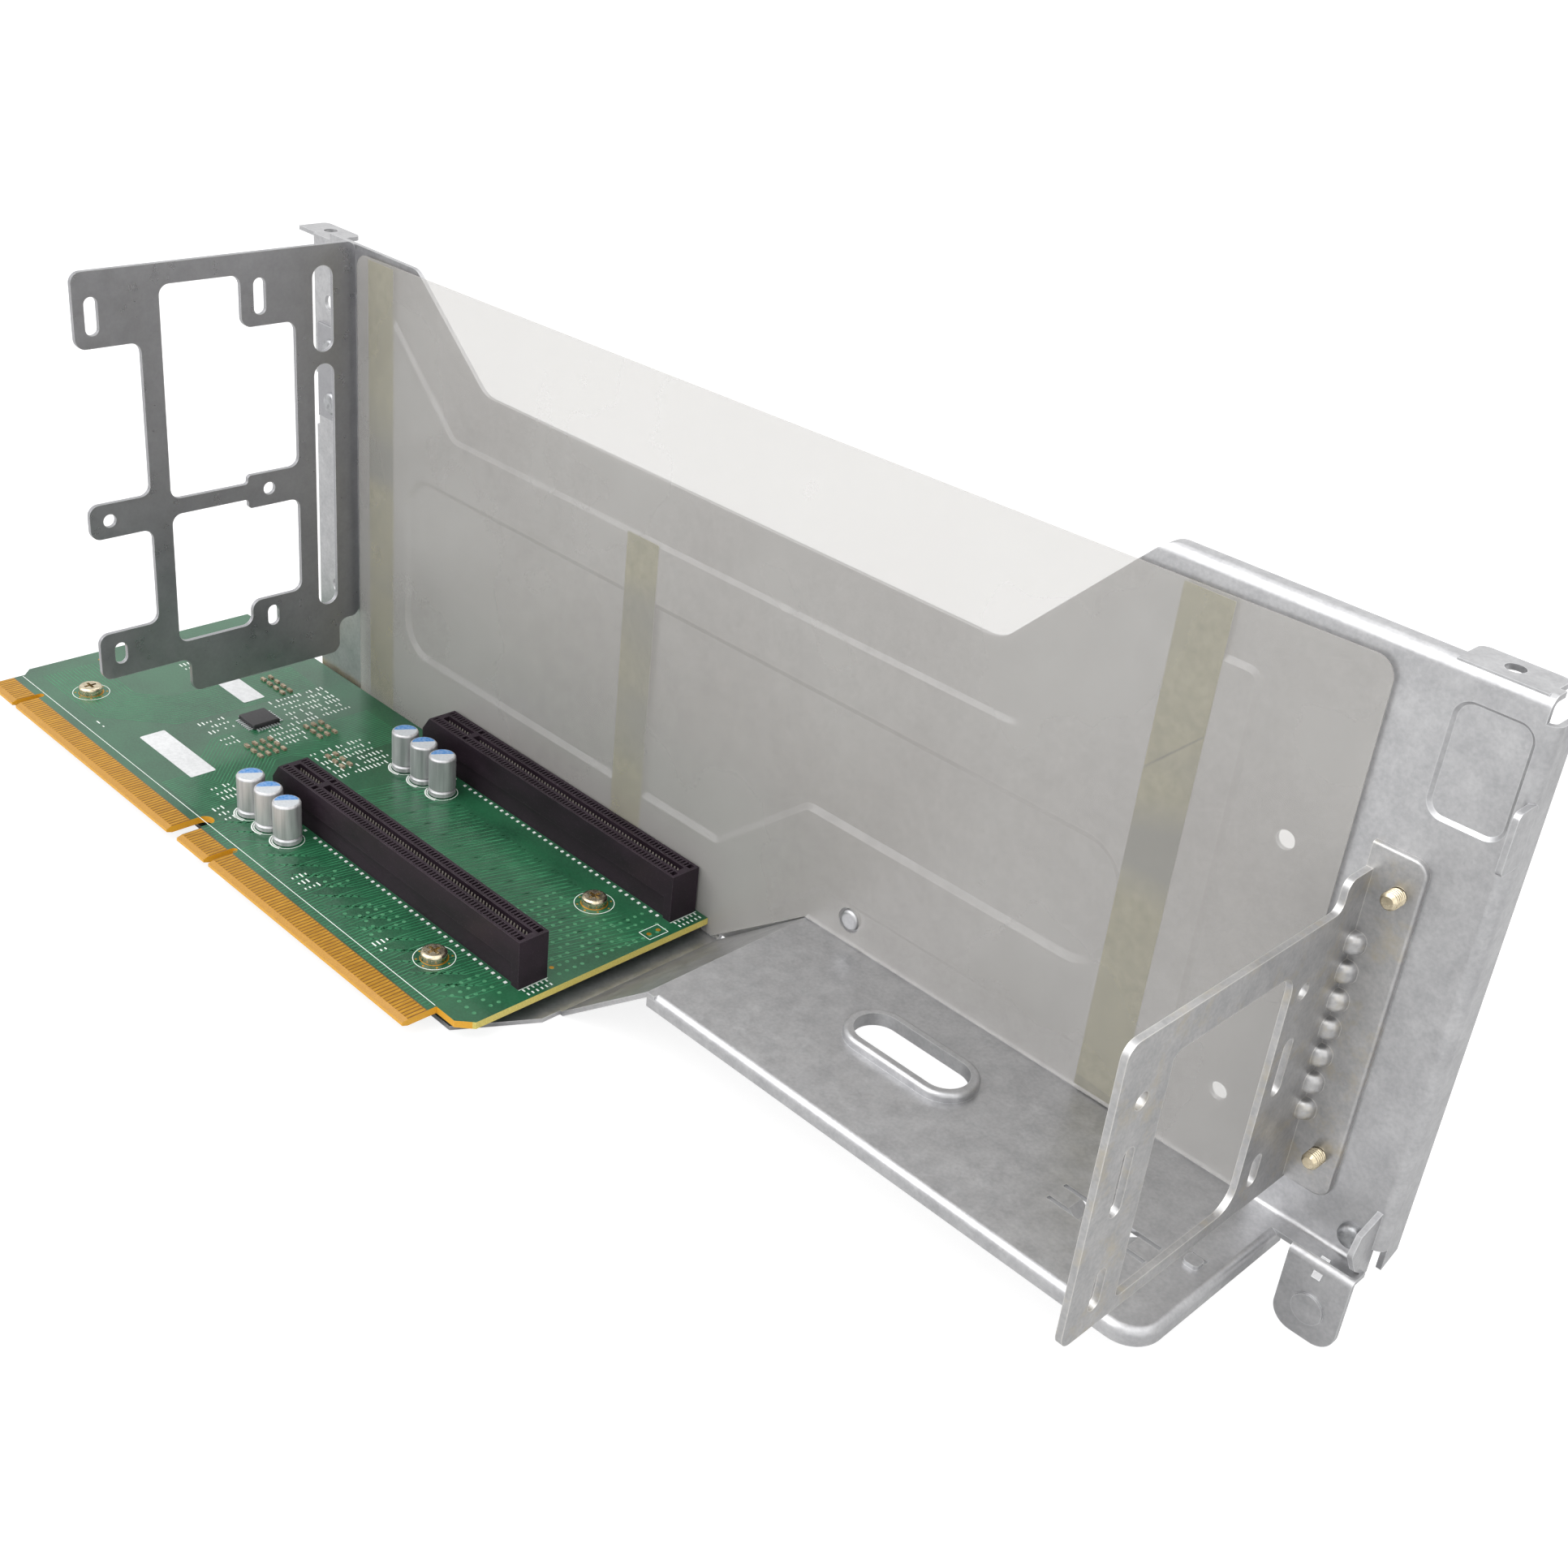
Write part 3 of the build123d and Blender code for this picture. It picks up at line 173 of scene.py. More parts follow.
def solder_mask():
    """Glossy green board lacquer, with bare laminate along the cut edges and on the bevels."""
    board = Finish("board_green", srgb(22, 84, 52), roughness=0.32)
    clouds = board.spread(board.noise(16.0, 2.0), 0.0, 1.0)
    weave = board.spread(board.noise(0.5, 1.0), 0.0, 0.35)
    green = board.mix(clouds, srgb(20, 66, 43), srgb(32, 88, 58))
    green = board.mix(weave, green, srgb(44, 104, 72))
    upright = board.maths("ABSOLUTE", board.axis(board.normal(), 2))
    cut = board.spread(upright, 1.0, 0.0, 0.90, 0.985)
    fibre = board.spread(board.noise(0.35, 2.0, 0.6, (1, 1, 4)), 0, 1)
    laminate = board.mix(fibre, srgb(190, 172, 74), srgb(216, 202, 112))
    amber = board.mix(fibre, srgb(112, 72, 20), srgb(130, 86, 28))
    rim = board.mix(fibre, srgb(206, 146, 14), srgb(222, 166, 30))
    depth = board.maths("SUBTRACT", board.axis(board.place(), 1), board_low[1] / MM)
    green = board.mix(board.maths("LESS_THAN", depth, TONGUE_BARE), green, amber)
    laminate = board.mix(board.maths("LESS_THAN", depth, TONGUE_DEPTH), laminate, rim)
    board.set("Base Color", board.mix(cut, green, laminate))
    board.set("Roughness", board.spread(cut, 0.3, 0.62, 0.0, 1.0))
    board.set("Coat Weight", 0.4)
    board.set("Coat Roughness", 0.12)
    board.bump(board.noise(0.9, 2.0), 0.12, 0.02)
    return board.material


def gold_contact():
    """Brownish gold contacts, rubbed brighter in small streaks along the way they slide."""
    gold = Finish("contact_gold", srgb(206, 148, 58), metallic=0.6, roughness=0.42)
    streak = gold.spread(gold.noise(1.4, 4.0, 0.6, (3, 0.4, 1)), 0, 1)
    gold.set("Base Color", gold.mix(streak, srgb(178, 128, 34), srgb(200, 150, 50)))
    gold.set("Roughness", gold.spread(streak, 0.36, 0.5, 0, 1))
    gold.bump(gold.noise(0.3, 2.0), 0.1, 0.01)
    return gold.material


def moulded_black():
    """Glass filled black nylon with a violet cast, greyer where it is scuffed, with a painted highlight
    along its sharp edges.
    """
    nylon = Finish("slot_black", srgb(34, 24, 32), roughness=0.52)
    nylon.set("Specular IOR Level", 0.3)
    flow = nylon.spread(nylon.noise(5.0, 4.0, 0.6, (0.35, 1, 1)), 0, 1)
    specks = nylon.spread(nylon.noise(0.35, 2.0, 0.6), 0, 1, 0.6, 0.78)
    colour = nylon.mix(flow, srgb(27, 17, 25), srgb(39, 28, 37))
    colour = nylon.mix(specks, colour, srgb(60, 49, 58))
    # Painted highlight: lighter grey along sharp edges.
    nylon.set("Base Color", nylon.mix(nylon.edges(0.12), colour, srgb(84, 74, 82)))
    nylon.set("Roughness", nylon.spread(flow, 0.46, 0.6, 0, 1))
    nylon.bump(nylon.noise(0.22, 2.0, 0.6), 0.3, 0.02)
    return nylon.material


def can(node):
    """Drawn aluminium can: satin sides, and a pale top with a blue printed segment."""
    low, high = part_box(node)
    radius = (high[0] - low[0]) / 2 / MM
    finish = Finish(node, srgb(186, 187, 190), metallic=0.95, roughness=0.33)
    drawn = finish.spread(finish.noise(0.8, 3.0, 0.6, (1, 1, 0.06)), 0, 1)
    side = finish.mix(drawn, srgb(178, 178, 180), srgb(202, 202, 203))
    centre = [(low[0] + high[0]) / 2 / MM, (low[1] + high[1]) / 2 / MM, 0]
    values = {0: finish.place(), 1: centre}
    from_centre = finish.node("ShaderNodeVectorMath", values, operation="SUBTRACT").outputs[0]
    values = {0: from_centre, 1: CAN_PRINT_SIDE}
    aside = finish.node("ShaderNodeVectorMath", values, operation="DOT_PRODUCT").outputs["Value"]
    printed = finish.maths("GREATER_THAN", aside, CAN_PRINT_START * radius)
    face = finish.mix(printed, srgb(196, 200, 204), srgb(58, 132, 200))
    face = finish.mix(finish.spread(finish.noise(0.6, 2.0), 0.0, 0.25), face, srgb(232, 236, 240))
    on_top = finish.maths("GREATER_THAN", finish.axis(finish.normal(), 2), 0.97)
    values = {0: from_centre, 1: (1, 1, 0)}
    level = finish.node("ShaderNodeVectorMath", values, operation="MULTIPLY").outputs[0]
    reach = finish.node("ShaderNodeVectorMath", {0: level}, operation="LENGTH").outputs["Value"]
    inside = finish.maths("LESS_THAN", reach, CAN_FACE * radius)
    capped = finish.maths("MULTIPLY", on_top, inside)
    finish.set("Base Color", finish.mix(capped, side, face))
    finish.set("Metallic", finish.spread(capped, 0.6, 0.35, 0, 1))
    finish.set("Roughness", finish.spread(drawn, 0.38, 0.48, 0, 1))
    return finish.material


def plain(name, dark, light, roughness=0.5, metallic=0.0, size=1.5, bump=0.15, stretch=(1, 1, 1)):
    """Simple surface with a little change of tone, gloss and level."""
    finish = Finish(name, light, metallic, roughness)
    tone = finish.spread(finish.noise(size, 3.0, 0.6, stretch), 0, 1)
    finish.set("Base Color", finish.mix(tone, dark, light))
    finish.set("Roughness", finish.spread(tone, roughness - 0.05, roughness + 0.07, 0, 1))
    finish.bump(finish.noise(size / 3, 2.0, 0.6, stretch), bump, 0.02)
    return finish.material


def frosted_film():
    """Frosted polymer sheet: milky, partly clear, with a soft uneven haze."""
    film = Finish("film", srgb(187, 185, 181), roughness=0.5)
    haze = film.spread(film.noise(45.0, 3.0, 0.5), 0, 1)
    frost = film.spread(film.noise(0.4, 2.0, 0.6), 0, 1)
    film.set("Base Color", film.mix(haze, srgb(187, 184, 180), srgb(193, 191, 187)))
    film.set("Alpha", film.spread(haze, 0.375, 0.395, 0, 1))
    film.set("Roughness", film.spread(frost, 0.42, 0.56, 0, 1))
    film.bump(film.noise(30.0, 2.0), 0.3, 0.5)
    film.material.surface_render_method = "BLENDED"
    return film.material


def leaded_chip():
    """Black moulded chip whose leads, all outside its body, are tinned."""
    low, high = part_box("control_chip")
    chip = Finish("chip_black", srgb(36, 34, 37), roughness=0.5)
    reach = []
    for index in (0, 1):
        middle = (low[index] + high[index]) / 2 / MM
        offset = chip.maths("SUBTRACT", chip.axis(chip.place(), index), middle)
        reach.append(chip.maths("ABSOLUTE", offset))
    outside = chip.maths("GREATER_THAN", chip.maths("MAXIMUM", *reach), CHIP_BODY / 2 + 0.05)
    grain = chip.spread(chip.noise(0.5, 3.0), 0, 1)
    moulded = chip.mix(grain, srgb(26, 24, 27), srgb(42, 40, 43))
    chip.set("Base Color", chip.mix(outside, moulded, srgb(206, 208, 210)))
    chip.set("Metallic", chip.maths("MULTIPLY", outside, 0.7))
    chip.set("Roughness", chip.spread(grain, 0.36, 0.52, 0, 1))
    return chip.material


def adhesive():
    """Yellowed clear tape with greyer patches where it holds."""
    tape = Finish("tape", srgb(150, 147, 104), roughness=0.5)
    patches = tape.spread(tape.noise(26.0, 1.0, 0.5, (0.2, 1, 1)), 0, 1, 0.43, 0.52)
    tone = tape.spread(tape.noise(2.5, 4.0, 0.65), 0, 1)
    clear = tape.mix(tone, srgb(162, 158, 118), srgb(182, 177, 140))
    tape.set("Base Color", tape.mix(patches, srgb(140, 141, 131), clear))
    tape.bump(tape.noise(1.2, 3.0), 0.2, 0.05)
    return tape.material


# Outlines on the board, as lists of points
def bar(start, stop, width):
    """Outline of a straight stroke."""
    start, stop = Vector(start), Vector(stop)
    along = (stop - start).normalized()
    side = Vector((-along.y, along.x)) * width / 2
    return [start - side, stop - side, stop + side, start + side]


def block(x, y, width, depth):
    """Outline of a rectangle about its middle."""
    return bar((x - width / 2, y), (x + width / 2, y), depth)


def disc(x, y, radius, sides=12):
    """Outline of a dot."""
    turns = [2 * math.pi * k / sides for k in range(sides)]
    return [Vector((x + radius * math.cos(t), y + radius * math.sin(t))) for t in turns]


def ring(x, y, inner, outer, sides=40, start=0.0, sweep=360.0):
    """Outlines of the short pieces that make a ring, or an arc of one."""
    turns = [math.radians(start + sweep * k / sides) for k in range(sides + 1)]
    rays = [Vector((math.cos(t), math.sin(t))) for t in turns]
    centre = Vector((x, y))
    pieces = []
    for a, b in zip(rays, rays[1:]):
        pieces.append([centre + a * inner, centre + a * outer, centre + b * outer, centre + b * inner])
    return pieces


def grid(x, y, columns, rows, step_x, step_y):
    """Middles of a grid of places about a middle."""
    across = [x + (k - (columns - 1) / 2) * step_x for k in range(columns)]
    back = [y + (k - (rows - 1) / 2) * step_y for k in range(rows)]
    return [(a, b) for b in back for a in across]


def sides_of(points):
    """At each point of a polyline, the mitred step of one millimetre to its left."""
    runs = [(b - a).normalized() for a, b in zip(points, points[1:])]
    steps = []
    for before, after in zip(runs[:1] + runs, runs + runs[-1:]):
        left = Vector((-after.y, after.x))
        mitre = (Vector((-before.y, before.x)) + left).normalized()
        steps.append(mitre / max(mitre.dot(left), 0.5))
    return steps


def trace(points, width, aside=0.0):
    """Outlines of a copper trace that runs beside a polyline."""
    points = [Vector(p) for p in points]
    steps = sides_of(points)
    points = [p + s * aside for p, s in zip(points, steps)]
    halves = [s * width / 2 for s in steps]
    runs = zip(points, points[1:], halves, halves[1:])
    return [[a - s, b - t, b + t, a + s] for a, b, s, t in runs]


def piece(name, mesh, material):
    """Makes a mesh an object that rides on the part."""
    bmesh.ops.recalc_face_normals(mesh, faces=mesh.faces)
    data = bpy.data.meshes.new(name)
    mesh.to_mesh(data)
    mesh.free()
    data.materials.append(material)
    shown = bpy.data.objects.new(name, data)
    bpy.context.scene.collection.objects.link(shown)
    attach(shown, "root")
    return shown


def prism(mesh, low, high):
    """Adds the closed solid between two outlines of equally many points."""
    low = [mesh.verts.new(p) for p in low]
    high = [mesh.verts.new(p) for p in high]
    mesh.faces.new(low[::-1])
    mesh.faces.new(high)
    for k in range(len(low)):
        n = (k + 1) % len(low)
        mesh.faces.new((low[k], low[n], high[n], high[k]))


def plates(name, outlines, height, material):
    """One mesh of thin plates on the upper face of the board."""
    mesh = bmesh.new()
    for outline in outlines:
        prism(mesh, [at(p.x, p.y, -PRINT_H) for p in outline], [at(p.x, p.y, height) for p in outline])
    return piece(name, mesh, material)


# Materials of the CAD nodes
# The last colour given to each steel below is its painted edge highlight.
steel = sheet_metal("galvanised_sheet", srgb(168, 168, 170), srgb(194, 194, 195), srgb(218, 219, 220), 0.36)
# The end bracket is the same zinc coated sheet as the carrier. Its plainer mottle is its own finish, but
# its darker base colours are painted shade for its faces turned away from the lamps.
bracket_painted_shade_steel = sheet_metal(
    "end_bracket_steel",
    srgb(152, 152, 155),
    srgb(164, 164, 167),
    srgb(214, 215, 216),
    0.32,
    mottle=0.2,
    metallic=0.78,
)
frame_steel = sheet_metal(
    "frame_steel",
    srgb(160, 160, 161),
    srgb(190, 189, 188),
    srgb(222, 220, 216),
    0.38,
    stain=srgb(184, 176, 158),
)
gold = gold_contact()
black = moulded_black()
tan = plain("small_part_tan", srgb(122, 104, 82), srgb(176, 162, 140), 0.5, size=1.1)
paper = plain("label_white", srgb(206, 207, 208), srgb(220, 221, 222), 0.6, size=0.8, bump=0.08)
nickel = plain("screw_nickel", srgb(190, 178, 152), srgb(218, 206, 180), 0.24, 1.0, size=1.2)
spacer = plain("spacer_steel", srgb(150, 148, 142), srgb(188, 186, 180), 0.35, 1.0)
rivet = plain("rivet_steel", srgb(142, 143, 145), srgb(182, 183, 185), 0.34, 1.0)
tape = adhesive()
ink = plain("print_white", srgb(214, 222, 214), srgb(236, 240, 236), 0.6, size=0.4, bump=0.05)
copper = plain("trace_green", srgb(38, 102, 68), srgb(56, 128, 88), 0.34, size=3.0, bump=0.05)
via = plain("via_green", srgb(56, 122, 84), srgb(82, 142, 104), 0.4, size=0.8, bump=0.05)
tin = plain("solder_tin", srgb(226, 228, 226), srgb(244, 245, 243), 0.4, 0.2, size=0.5)
spring = plain("spring_tin", srgb(176, 170, 160), srgb(214, 208, 198), 0.34, 0.7, size=0.4)

CANS = [f"capacitor_{k}" for k in range(1, 7)]
FINISHES = {
    "carrier_sheet": steel,
    "end_bracket": bracket_painted_shade_steel,
    "end_frame": frame_steel,
    "insulating_film": frosted_film(),
    "tape_left": tape,
    "tape_middle": tape,
    "tape_right": tape,
    "circuit_board": solder_mask(),
    "contacts_upper": gold,
    "contacts_lower": gold,
    "slot_housing_near": black,
    "slot_housing_far": black,
    "control_chip": leaded_chip(),
    "small_parts": tan,
    "label_long": paper,
    "label_short": paper,
    "board_spacers": spacer,
    "board_screws": nickel,
    "frame_screws": nickel,
    "bracket_rivets": rivet,
    "wall_stud": rivet,
}
for node in nodes:
    finish = can(node) if node in CANS else FINISHES[node]
    nodes[node].data.materials.clear()
    nodes[node].data.materials.append(finish)

# Places on the board
FINGER_LINE = ((-88.6, 8.0), (83.3, 8.0))
LINE_W = 0.16
SCREWS = [(-72.0, 17.4), (70.0, 17.4), (73.6, 56.5), (-72.0, 56.5)]
SCREW_RING = 4.4
SCREW_PAD = (2.7, 3.0)
SCREW_DOTS = 8
SCREW_DOT = 0.24
SCREW_DOT_REACH = 3.7
SLOTS = ("slot_housing_near", "slot_housing_far")
CONTACT_FIRST = 3.4
KEY_GAP = 3.0
CONTACTS_SHORT = 11
CONTACTS_LONG = 71
CONTACT_STEP = 1.0
# Frame of the jumper: its middle, width and depth
JUMPER = (89.6, 59.4, 3.4, 5.2)
JUMPER_PAD = 0.55
GOLD_DOTS = [(86.9, 34.1), (-87.0, 27.6)]
GOLD_DOT = 0.5
# Tinned feet of the slots: side, height and distance from the housing
FOOT = 0.66
FOOT_H = 0.12
FOOT_GAP = 0.4
# White print round the cans, outside their radius: a thin ring and a thick arc
CAN_RING = (0.4, 0.56)
CAN_ARC = (0.15, 0.9)
CAN_ARC_TURN = {"start": 205, "sweep": 95}
# White pads: their step along and across the board, lengths, width and the share kept
PAD_STEP = (2.5, 1.05)
PAD_LENGTHS = (0.7, 1.5)
PAD_W = 0.34
PAD_SHARE = 0.84
# White pads at the right end of a slot: distance from it, count, step and size
END_LINE = 0.25
END_PADS = 1.6
END_COUNT = (2, 6)
END_STEP = (1.5, 1.15)
END_PAD = (0.8, 0.36)
# Footprints left empty: middle, pads along the board and pads across it
FOOTPRINTS = [
    (-37.0, 57.0, 6, 15),
    (-8.8, 50.6, 6, 15),
    (-40.2, 33.0, 3, 7),
    (-31.8, 31.6, 2, 4),
    (-27.0, 44.4, 4, 8),
    (-11.4, 18.5, 3, 5),
    (-3.2, 13.2, 3, 3),
    (31.0, 12.3, 3, 4),
    (60.3, 12.0, 2, 4),
    (-72.0, 43.4, 2, 3),
    (-55.6, 10.8, 2, 2),
]
# Fields of stitched vias: lowest corner and highest corner
VIA_FIELDS = [
    ((64, 33), (91, 55)),
    ((81, 51), (92, 63)),
    ((79, 11), (91, 22)),
    ((29, 14), (38, 21)),
    ((45, 11), (57, 21)),
]
VIA_STEP = (2.4, 2.0)
VIA_R = 0.45
VIA_H = 0.018
VIA_SHARE = 0.8
TRACE_W = 0.24
# Bundles of traces: line of the first one, count, step and first distance aside
BUNDLES = [
    ([(-16, 67), (-16, 50), (-24, 42), (-24, 33), (-12, 21), (-12, 9)], 22, -0.8, 6),
    ([(-86, 12), (-60, 12), (-46, 26), (-44, 64)], 16, 0.9, 0),
]
# Where traces may run: left and right, front and back
FACE = ((-90, 92), (6, 72))
# Contact springs of the slots, from the middle of the groove and its top: the
# bowed face, and the tip under the opening beside the groove
SPRING_HALF = 0.2
SPRING_BOW = [
    (1.0, -0.9),
    (0.66, -2.0),
    (0.6, -2.6),
    (0.72, -3.4),
    (1.0, -4.4),
    (1.12, -4.4),
    (0.86, -3.3),
    (0.76, -2.6),
    (0.82, -1.9),
    (1.12, -0.9),
]
SPRING_TIP = [(1.75, -0.5), (2.5, -0.75), (2.9, -1.1), (2.9, -1.22), (2.45, -0.87), (1.75, -0.62)]
# Thread ends that come through the retaining frame
SCREW_HEAD = 5.6
THREAD_START = 0.45
THREAD_LENGTH = 2.6
THREAD_PITCH = 0.5
THREAD_STEPS = 24
THREAD_RIDGE = [(1.36, -0.17), (1.53, 0.0), (1.36, 0.17)]
contact_xs = [CONTACT_FIRST + CONTACT_STEP * k for k in range(CONTACTS_SHORT)]
contact_xs += [contact_xs[-1] + KEY_GAP + CONTACT_STEP * k for k in range(CONTACTS_LONG)]


def on_board(node):
    """A CAD node's lowest and highest corners in the board's own millimetres."""
    zero = (board_low[0] - BOARD_LEFT * MM, board_low[1], board_high[2])
    return [[(value - start) / MM for value, start in zip(corner, zero)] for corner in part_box(node)]


def printed_marks():
    """White print: the line beside the contacts, rings, empty footprints and the jumper's frame."""
    marks = [bar(*FINGER_LINE, LINE_W)]
    for x, y in SCREWS:
        marks += ring(x, y, SCREW_RING - LINE_W, SCREW_RING)
    for node in CANS:
        (x0, y0, _), (x1, y1, _) = on_board(node)
        x, y, r = (x0 + x1) / 2, (y0 + y1) / 2, (x1 - x0) / 2
        marks += ring(x, y, *[r + step for step in CAN_RING])
        marks += ring(x, y, *[r + step for step in CAN_ARC], sides=16, **CAN_ARC_TURN)
    chance = random.Random(5)
    for x, y, columns, rows in FOOTPRINTS:
        for a, b in grid(x, y, columns, rows, *PAD_STEP):
            if chance.random() < PAD_SHARE:
                marks.append(block(a, b, chance.choice(PAD_LENGTHS), PAD_W))
    for node in SLOTS:
        (_, y0, _), (x1, y1, _) = on_board(node)
        marks.append(bar((x1 + END_LINE, y0), (x1 + END_LINE, y1), LINE_W))
        places = grid(x1 + END_PADS, (y0 + y1) / 2, *END_COUNT, *END_STEP)
        marks += [block(a, b, *END_PAD) for a, b in places]
    x, y, width, depth = JUMPER
    corners = [(x - width / 2, y - depth / 2), (x + width / 2, y - depth / 2)]
    corners += [(x + width / 2, y + depth / 2), (x - width / 2, y + depth / 2)]
    marks += [bar(a, b, LINE_W) for a, b in zip(corners, corners[1:] + corners[:1])]
    plates("board_print", marks, PRINT_H, ink)


def bare_pads():
    """Gold rings under the screws, probe dots and jumper pads, and the slots' tinned feet."""
    pads = [disc(x, y, GOLD_DOT) for x, y in GOLD_DOTS]
    for x, y in SCREWS:
        pads += ring(x, y, *SCREW_PAD)
        for k in range(SCREW_DOTS):
            turn = 2 * math.pi * k / SCREW_DOTS + 0.3
            across, back = SCREW_DOT_REACH * math.cos(turn), SCREW_DOT_REACH * math.sin(turn)
            pads.append(disc(x + across, y + back, SCREW_DOT))
    x, y, _, depth = JUMPER
    pads += [disc(x, y + side * depth / 4, JUMPER_PAD) for side in (-1, 1)]
    plates("board_gold", pads, PRINT_H, gold)
    feet = []
    for node in SLOTS:
        (_, y0, _), (_, y1, _) = on_board(node)
        rows = (y0 - FOOT_GAP, y1 + FOOT_GAP)
        feet += [block(x, y, FOOT, FOOT) for x in contact_xs[::2] for y in rows]
    plates("slot_feet", feet, FOOT_H, tin)


def copper_under_mask():
    """Traces and stitched vias that show through the green lacquer."""
    (_, near_front, _), (_, near_back, _) = on_board(SLOTS[0])
    lines = []
    for k, x in enumerate(contact_xs):
        turn = 10.5 + (k % 5) * 1.3
        lines += trace([(x - 4.2, 6.2), (x - 4.2, turn), (x - 1.0, turn + 3.2), (x, near_front)], TRACE_W)
        drift = 5.0 + (k % 6) * 0.5
        lines += trace([(x, near_back), (x + 0.4, 35.0 + (k % 3)), (x + drift, 58.0)], TRACE_W)
    for line, count, step, first in BUNDLES:
        for k in range(count):
            lines += trace(line, TRACE_W, aside=first + step * k)
    (left, right), (front, back) = FACE
    inside = [q for q in lines if all(left < p.x < right and front < p.y < back for p in q)]
    plates("board_traces", inside, TRACE_H, copper)
    dots = []
    chance = random.Random(11)
    for (x0, y0), (x1, y1) in VIA_FIELDS:
        columns, rows = int((x1 - x0) / VIA_STEP[0]), int((y1 - y0) / VIA_STEP[1])
        for x, y in grid((x0 + x1) / 2, (y0 + y1) / 2, columns, rows, *VIA_STEP):
            clear = all(math.dist((x, y), s) > SCREW_RING + 0.8 for s in SCREWS)
            if clear and x < right - 1 and chance.random() < VIA_SHARE:
                dots.append(disc(x, y, VIA_R, 10))
    plates("board_vias", dots, VIA_H, via)


def slot_springs(name, node):
    """Contact springs: their bowed faces in the groove and their tips under the openings beside it."""
    (_, y0, _), (_, y1, top) = on_board(node)
    middle = (y0 + y1) / 2
    mesh = bmesh.new()
    for x in contact_xs:
        for side in (-1, 1):
            for profile in (SPRING_BOW, SPRING_TIP):
                left = [at(x - SPRING_HALF, middle + side * y, top + z) for y, z in profile]
                right = [at(x + SPRING_HALF, middle + side * y, top + z) for y, z in profile]
                prism(mesh, left, right)
    piece(name, mesh, spring)


def screw_threads():
    """Helical ridges round the ends of the two screws that come through the retaining frame."""
    (x0, front, z0), (x1, _, z1) = on_board("frame_screws")
    x = (x0 + x1) / 2
    mesh = bmesh.new()
    for z in (z0 + SCREW_HEAD / 2, z1 - SCREW_HEAD / 2):
        rows = []
        for k in range(int(THREAD_LENGTH / THREAD_PITCH * THREAD_STEPS) + 1):
            turns = k / THREAD_STEPS
            right, up = math.cos(2 * math.pi * turns), math.sin(2 * math.pi * turns)
            y = front + THREAD_START + THREAD_PITCH * turns
            rows.append([mesh.verts.new(at(x + r * right, y + dy, z + r * up)) for r, dy in THREAD_RIDGE])
        for a, b in zip(rows, rows[1:]):
            for k in range(3):
                n = (k + 1) % 3
                mesh.faces.new((a[k], a[n], b[n], b[k]))
        mesh.faces.new(rows[0])
        mesh.faces.new(rows[-1][::-1])
    piece("frame_screw_threads", mesh, nickel)


printed_marks()
bare_pads()
copper_under_mask()
slot_springs("slot_springs_near", SLOTS[0])
slot_springs("slot_springs_far", SLOTS[1])
screw_threads()


# Studio, in metres and watts
AMBIENT = 0.55
FLOOR_HALF = 3.0
FLOOR_DROP = 0.0002
# A socket of the floor, its value for light and its value for the camera
FLOOR_TONES = [("Base Color", 0.66, 0.3), ("Emission Strength", 0.0, 0.82)]
LAMP_AIM = (0.0, 0.0, 0.05)
LAMPS = [
    ("key", (-0.35, -0.7, 0.9), 1.4, 12.5),
    ("top", (0.1, 0.1, 1.1), 2.0, 10.0),
    ("fill", (0.9, -0.5, 0.5), 1.2, 3.0),
]
CAMERA_EYE = Vector((0.24957, -0.21314, 0.2290))
CAMERA_TARGET = Vector((0.05886, 0.0, 0.06985))
CAMERA_ROLL = 6.581
CAMERA_LENS = 43.39


def camera():
    """The photograph's camera: its place, what it looks at, its turn about the view and its lens."""
    view = (CAMERA_TARGET - CAMERA_EYE).normalized()
    level_right = view.cross(Vector((0, 0, 1))).normalized()
    turn = Matrix.Rotation(math.radians(CAMERA_ROLL), 3, -view)
    right = turn @ level_right
    up = right.cross(view)
    data = bpy.data.cameras.new("camera")
    data.lens = CAMERA_LENS
    data.sensor_width = 36.0
    shot = bpy.data.objects.new("camera", data)
    shot.matrix_world = Matrix.Translation(CAMERA_EYE) @ Matrix((right, up, -view)).transposed().to_4x4()
    bpy.context.scene.collection.objects.link(shot)
    bpy.context.scene.camera = shot


def lamp(name, place, target, size, watts):
    """A square soft lamp that faces target."""
    data = bpy.data.lights.new(name, "AREA")
    data.size = size
    data.energy = watts
    light = bpy.data.objects.new(name, data)
    light.location = place
    light.rotation_euler = (Vector(target) - Vector(place)).to_track_quat("-Z", "Y").to_euler()
    bpy.context.scene.collection.objects.link(light)


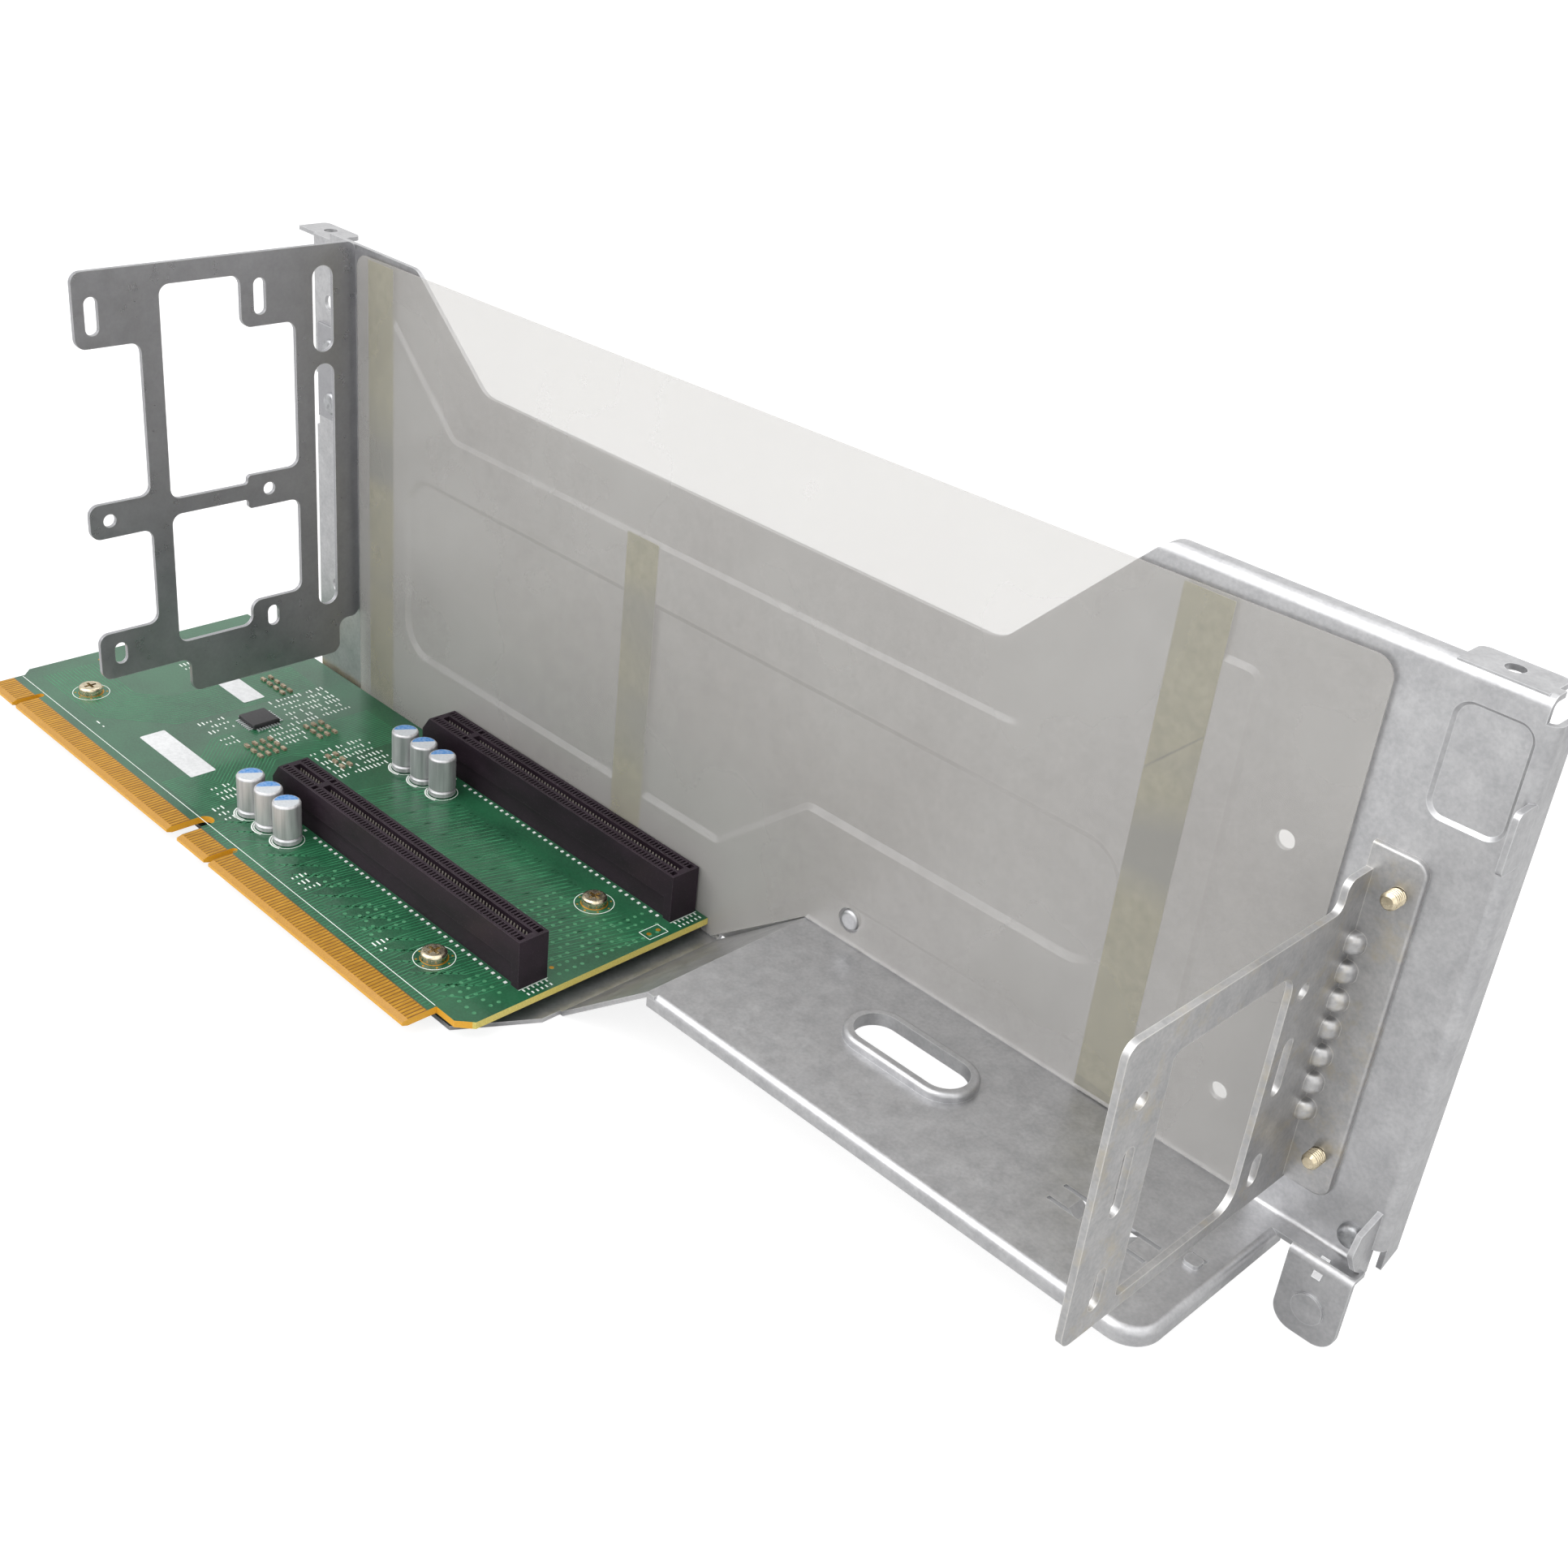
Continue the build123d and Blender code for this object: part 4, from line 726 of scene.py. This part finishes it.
def surroundings():
    """A plain world, white where the camera looks and where metal or film shows it."""
    world = bpy.data.worlds.new("surroundings")
    world.use_nodes = True
    bpy.context.scene.world = world
    tree = world.node_tree
    ambient = tree.nodes["Background"]
    ambient.inputs["Color"].default_value = (1, 1, 1, 1)
    ambient.inputs["Strength"].default_value = AMBIENT
    white = tree.nodes.new("ShaderNodeBackground")
    white.inputs["Color"].default_value = (1, 1, 1, 1)
    path = tree.nodes.new("ShaderNodeLightPath")
    looked_at = path.outputs["Is Camera Ray"]
    for ray in ("Is Glossy Ray", "Is Transmission Ray"):
        either = tree.nodes.new("ShaderNodeMath")
        either.operation = "MAXIMUM"
        tree.links.new(looked_at, either.inputs[0])
        tree.links.new(path.outputs[ray], either.inputs[1])
        looked_at = either.outputs[0]
    blend = tree.nodes.new("ShaderNodeMixShader")
    tree.links.new(looked_at, blend.inputs[0])
    tree.links.new(ambient.outputs[0], blend.inputs[1])
    tree.links.new(white.outputs[0], blend.inputs[2])
    tree.links.new(blend.outputs[0], tree.nodes["World Output"].inputs["Surface"])


def floor_plane():
    """A pale floor that keeps the part's shadow and is white to the camera."""
    mesh = bmesh.new()
    bmesh.ops.create_grid(mesh, x_segments=1, y_segments=1, size=FLOOR_HALF)
    data = bpy.data.meshes.new("floor")
    mesh.to_mesh(data)
    mesh.free()
    floor = bpy.data.objects.new("floor", data)
    floor.location.z = -FLOOR_DROP
    bpy.context.scene.collection.objects.link(floor)
    paint = bpy.data.materials.new("floor_white")
    paint.use_nodes = True
    tree = paint.node_tree
    surface = tree.nodes["Principled BSDF"]
    surface.inputs["Roughness"].default_value = 0.9
    surface.inputs["Emission Color"].default_value = (1, 1, 1, 1)
    path = tree.nodes.new("ShaderNodeLightPath")
    for socket, unseen, looked_at in FLOOR_TONES:
        choice = tree.nodes.new("ShaderNodeMapRange")
        choice.inputs["To Min"].default_value = unseen
        choice.inputs["To Max"].default_value = looked_at
        tree.links.new(path.outputs["Is Camera Ray"], choice.inputs["Value"])
        tree.links.new(choice.outputs[0], surface.inputs[socket])
    data.materials.append(paint)


camera()
surroundings()
floor_plane()
for name, place, size, watts in LAMPS:
    lamp(name, place, LAMP_AIM, size, watts)
bpy.context.scene.view_settings.view_transform = "Standard"
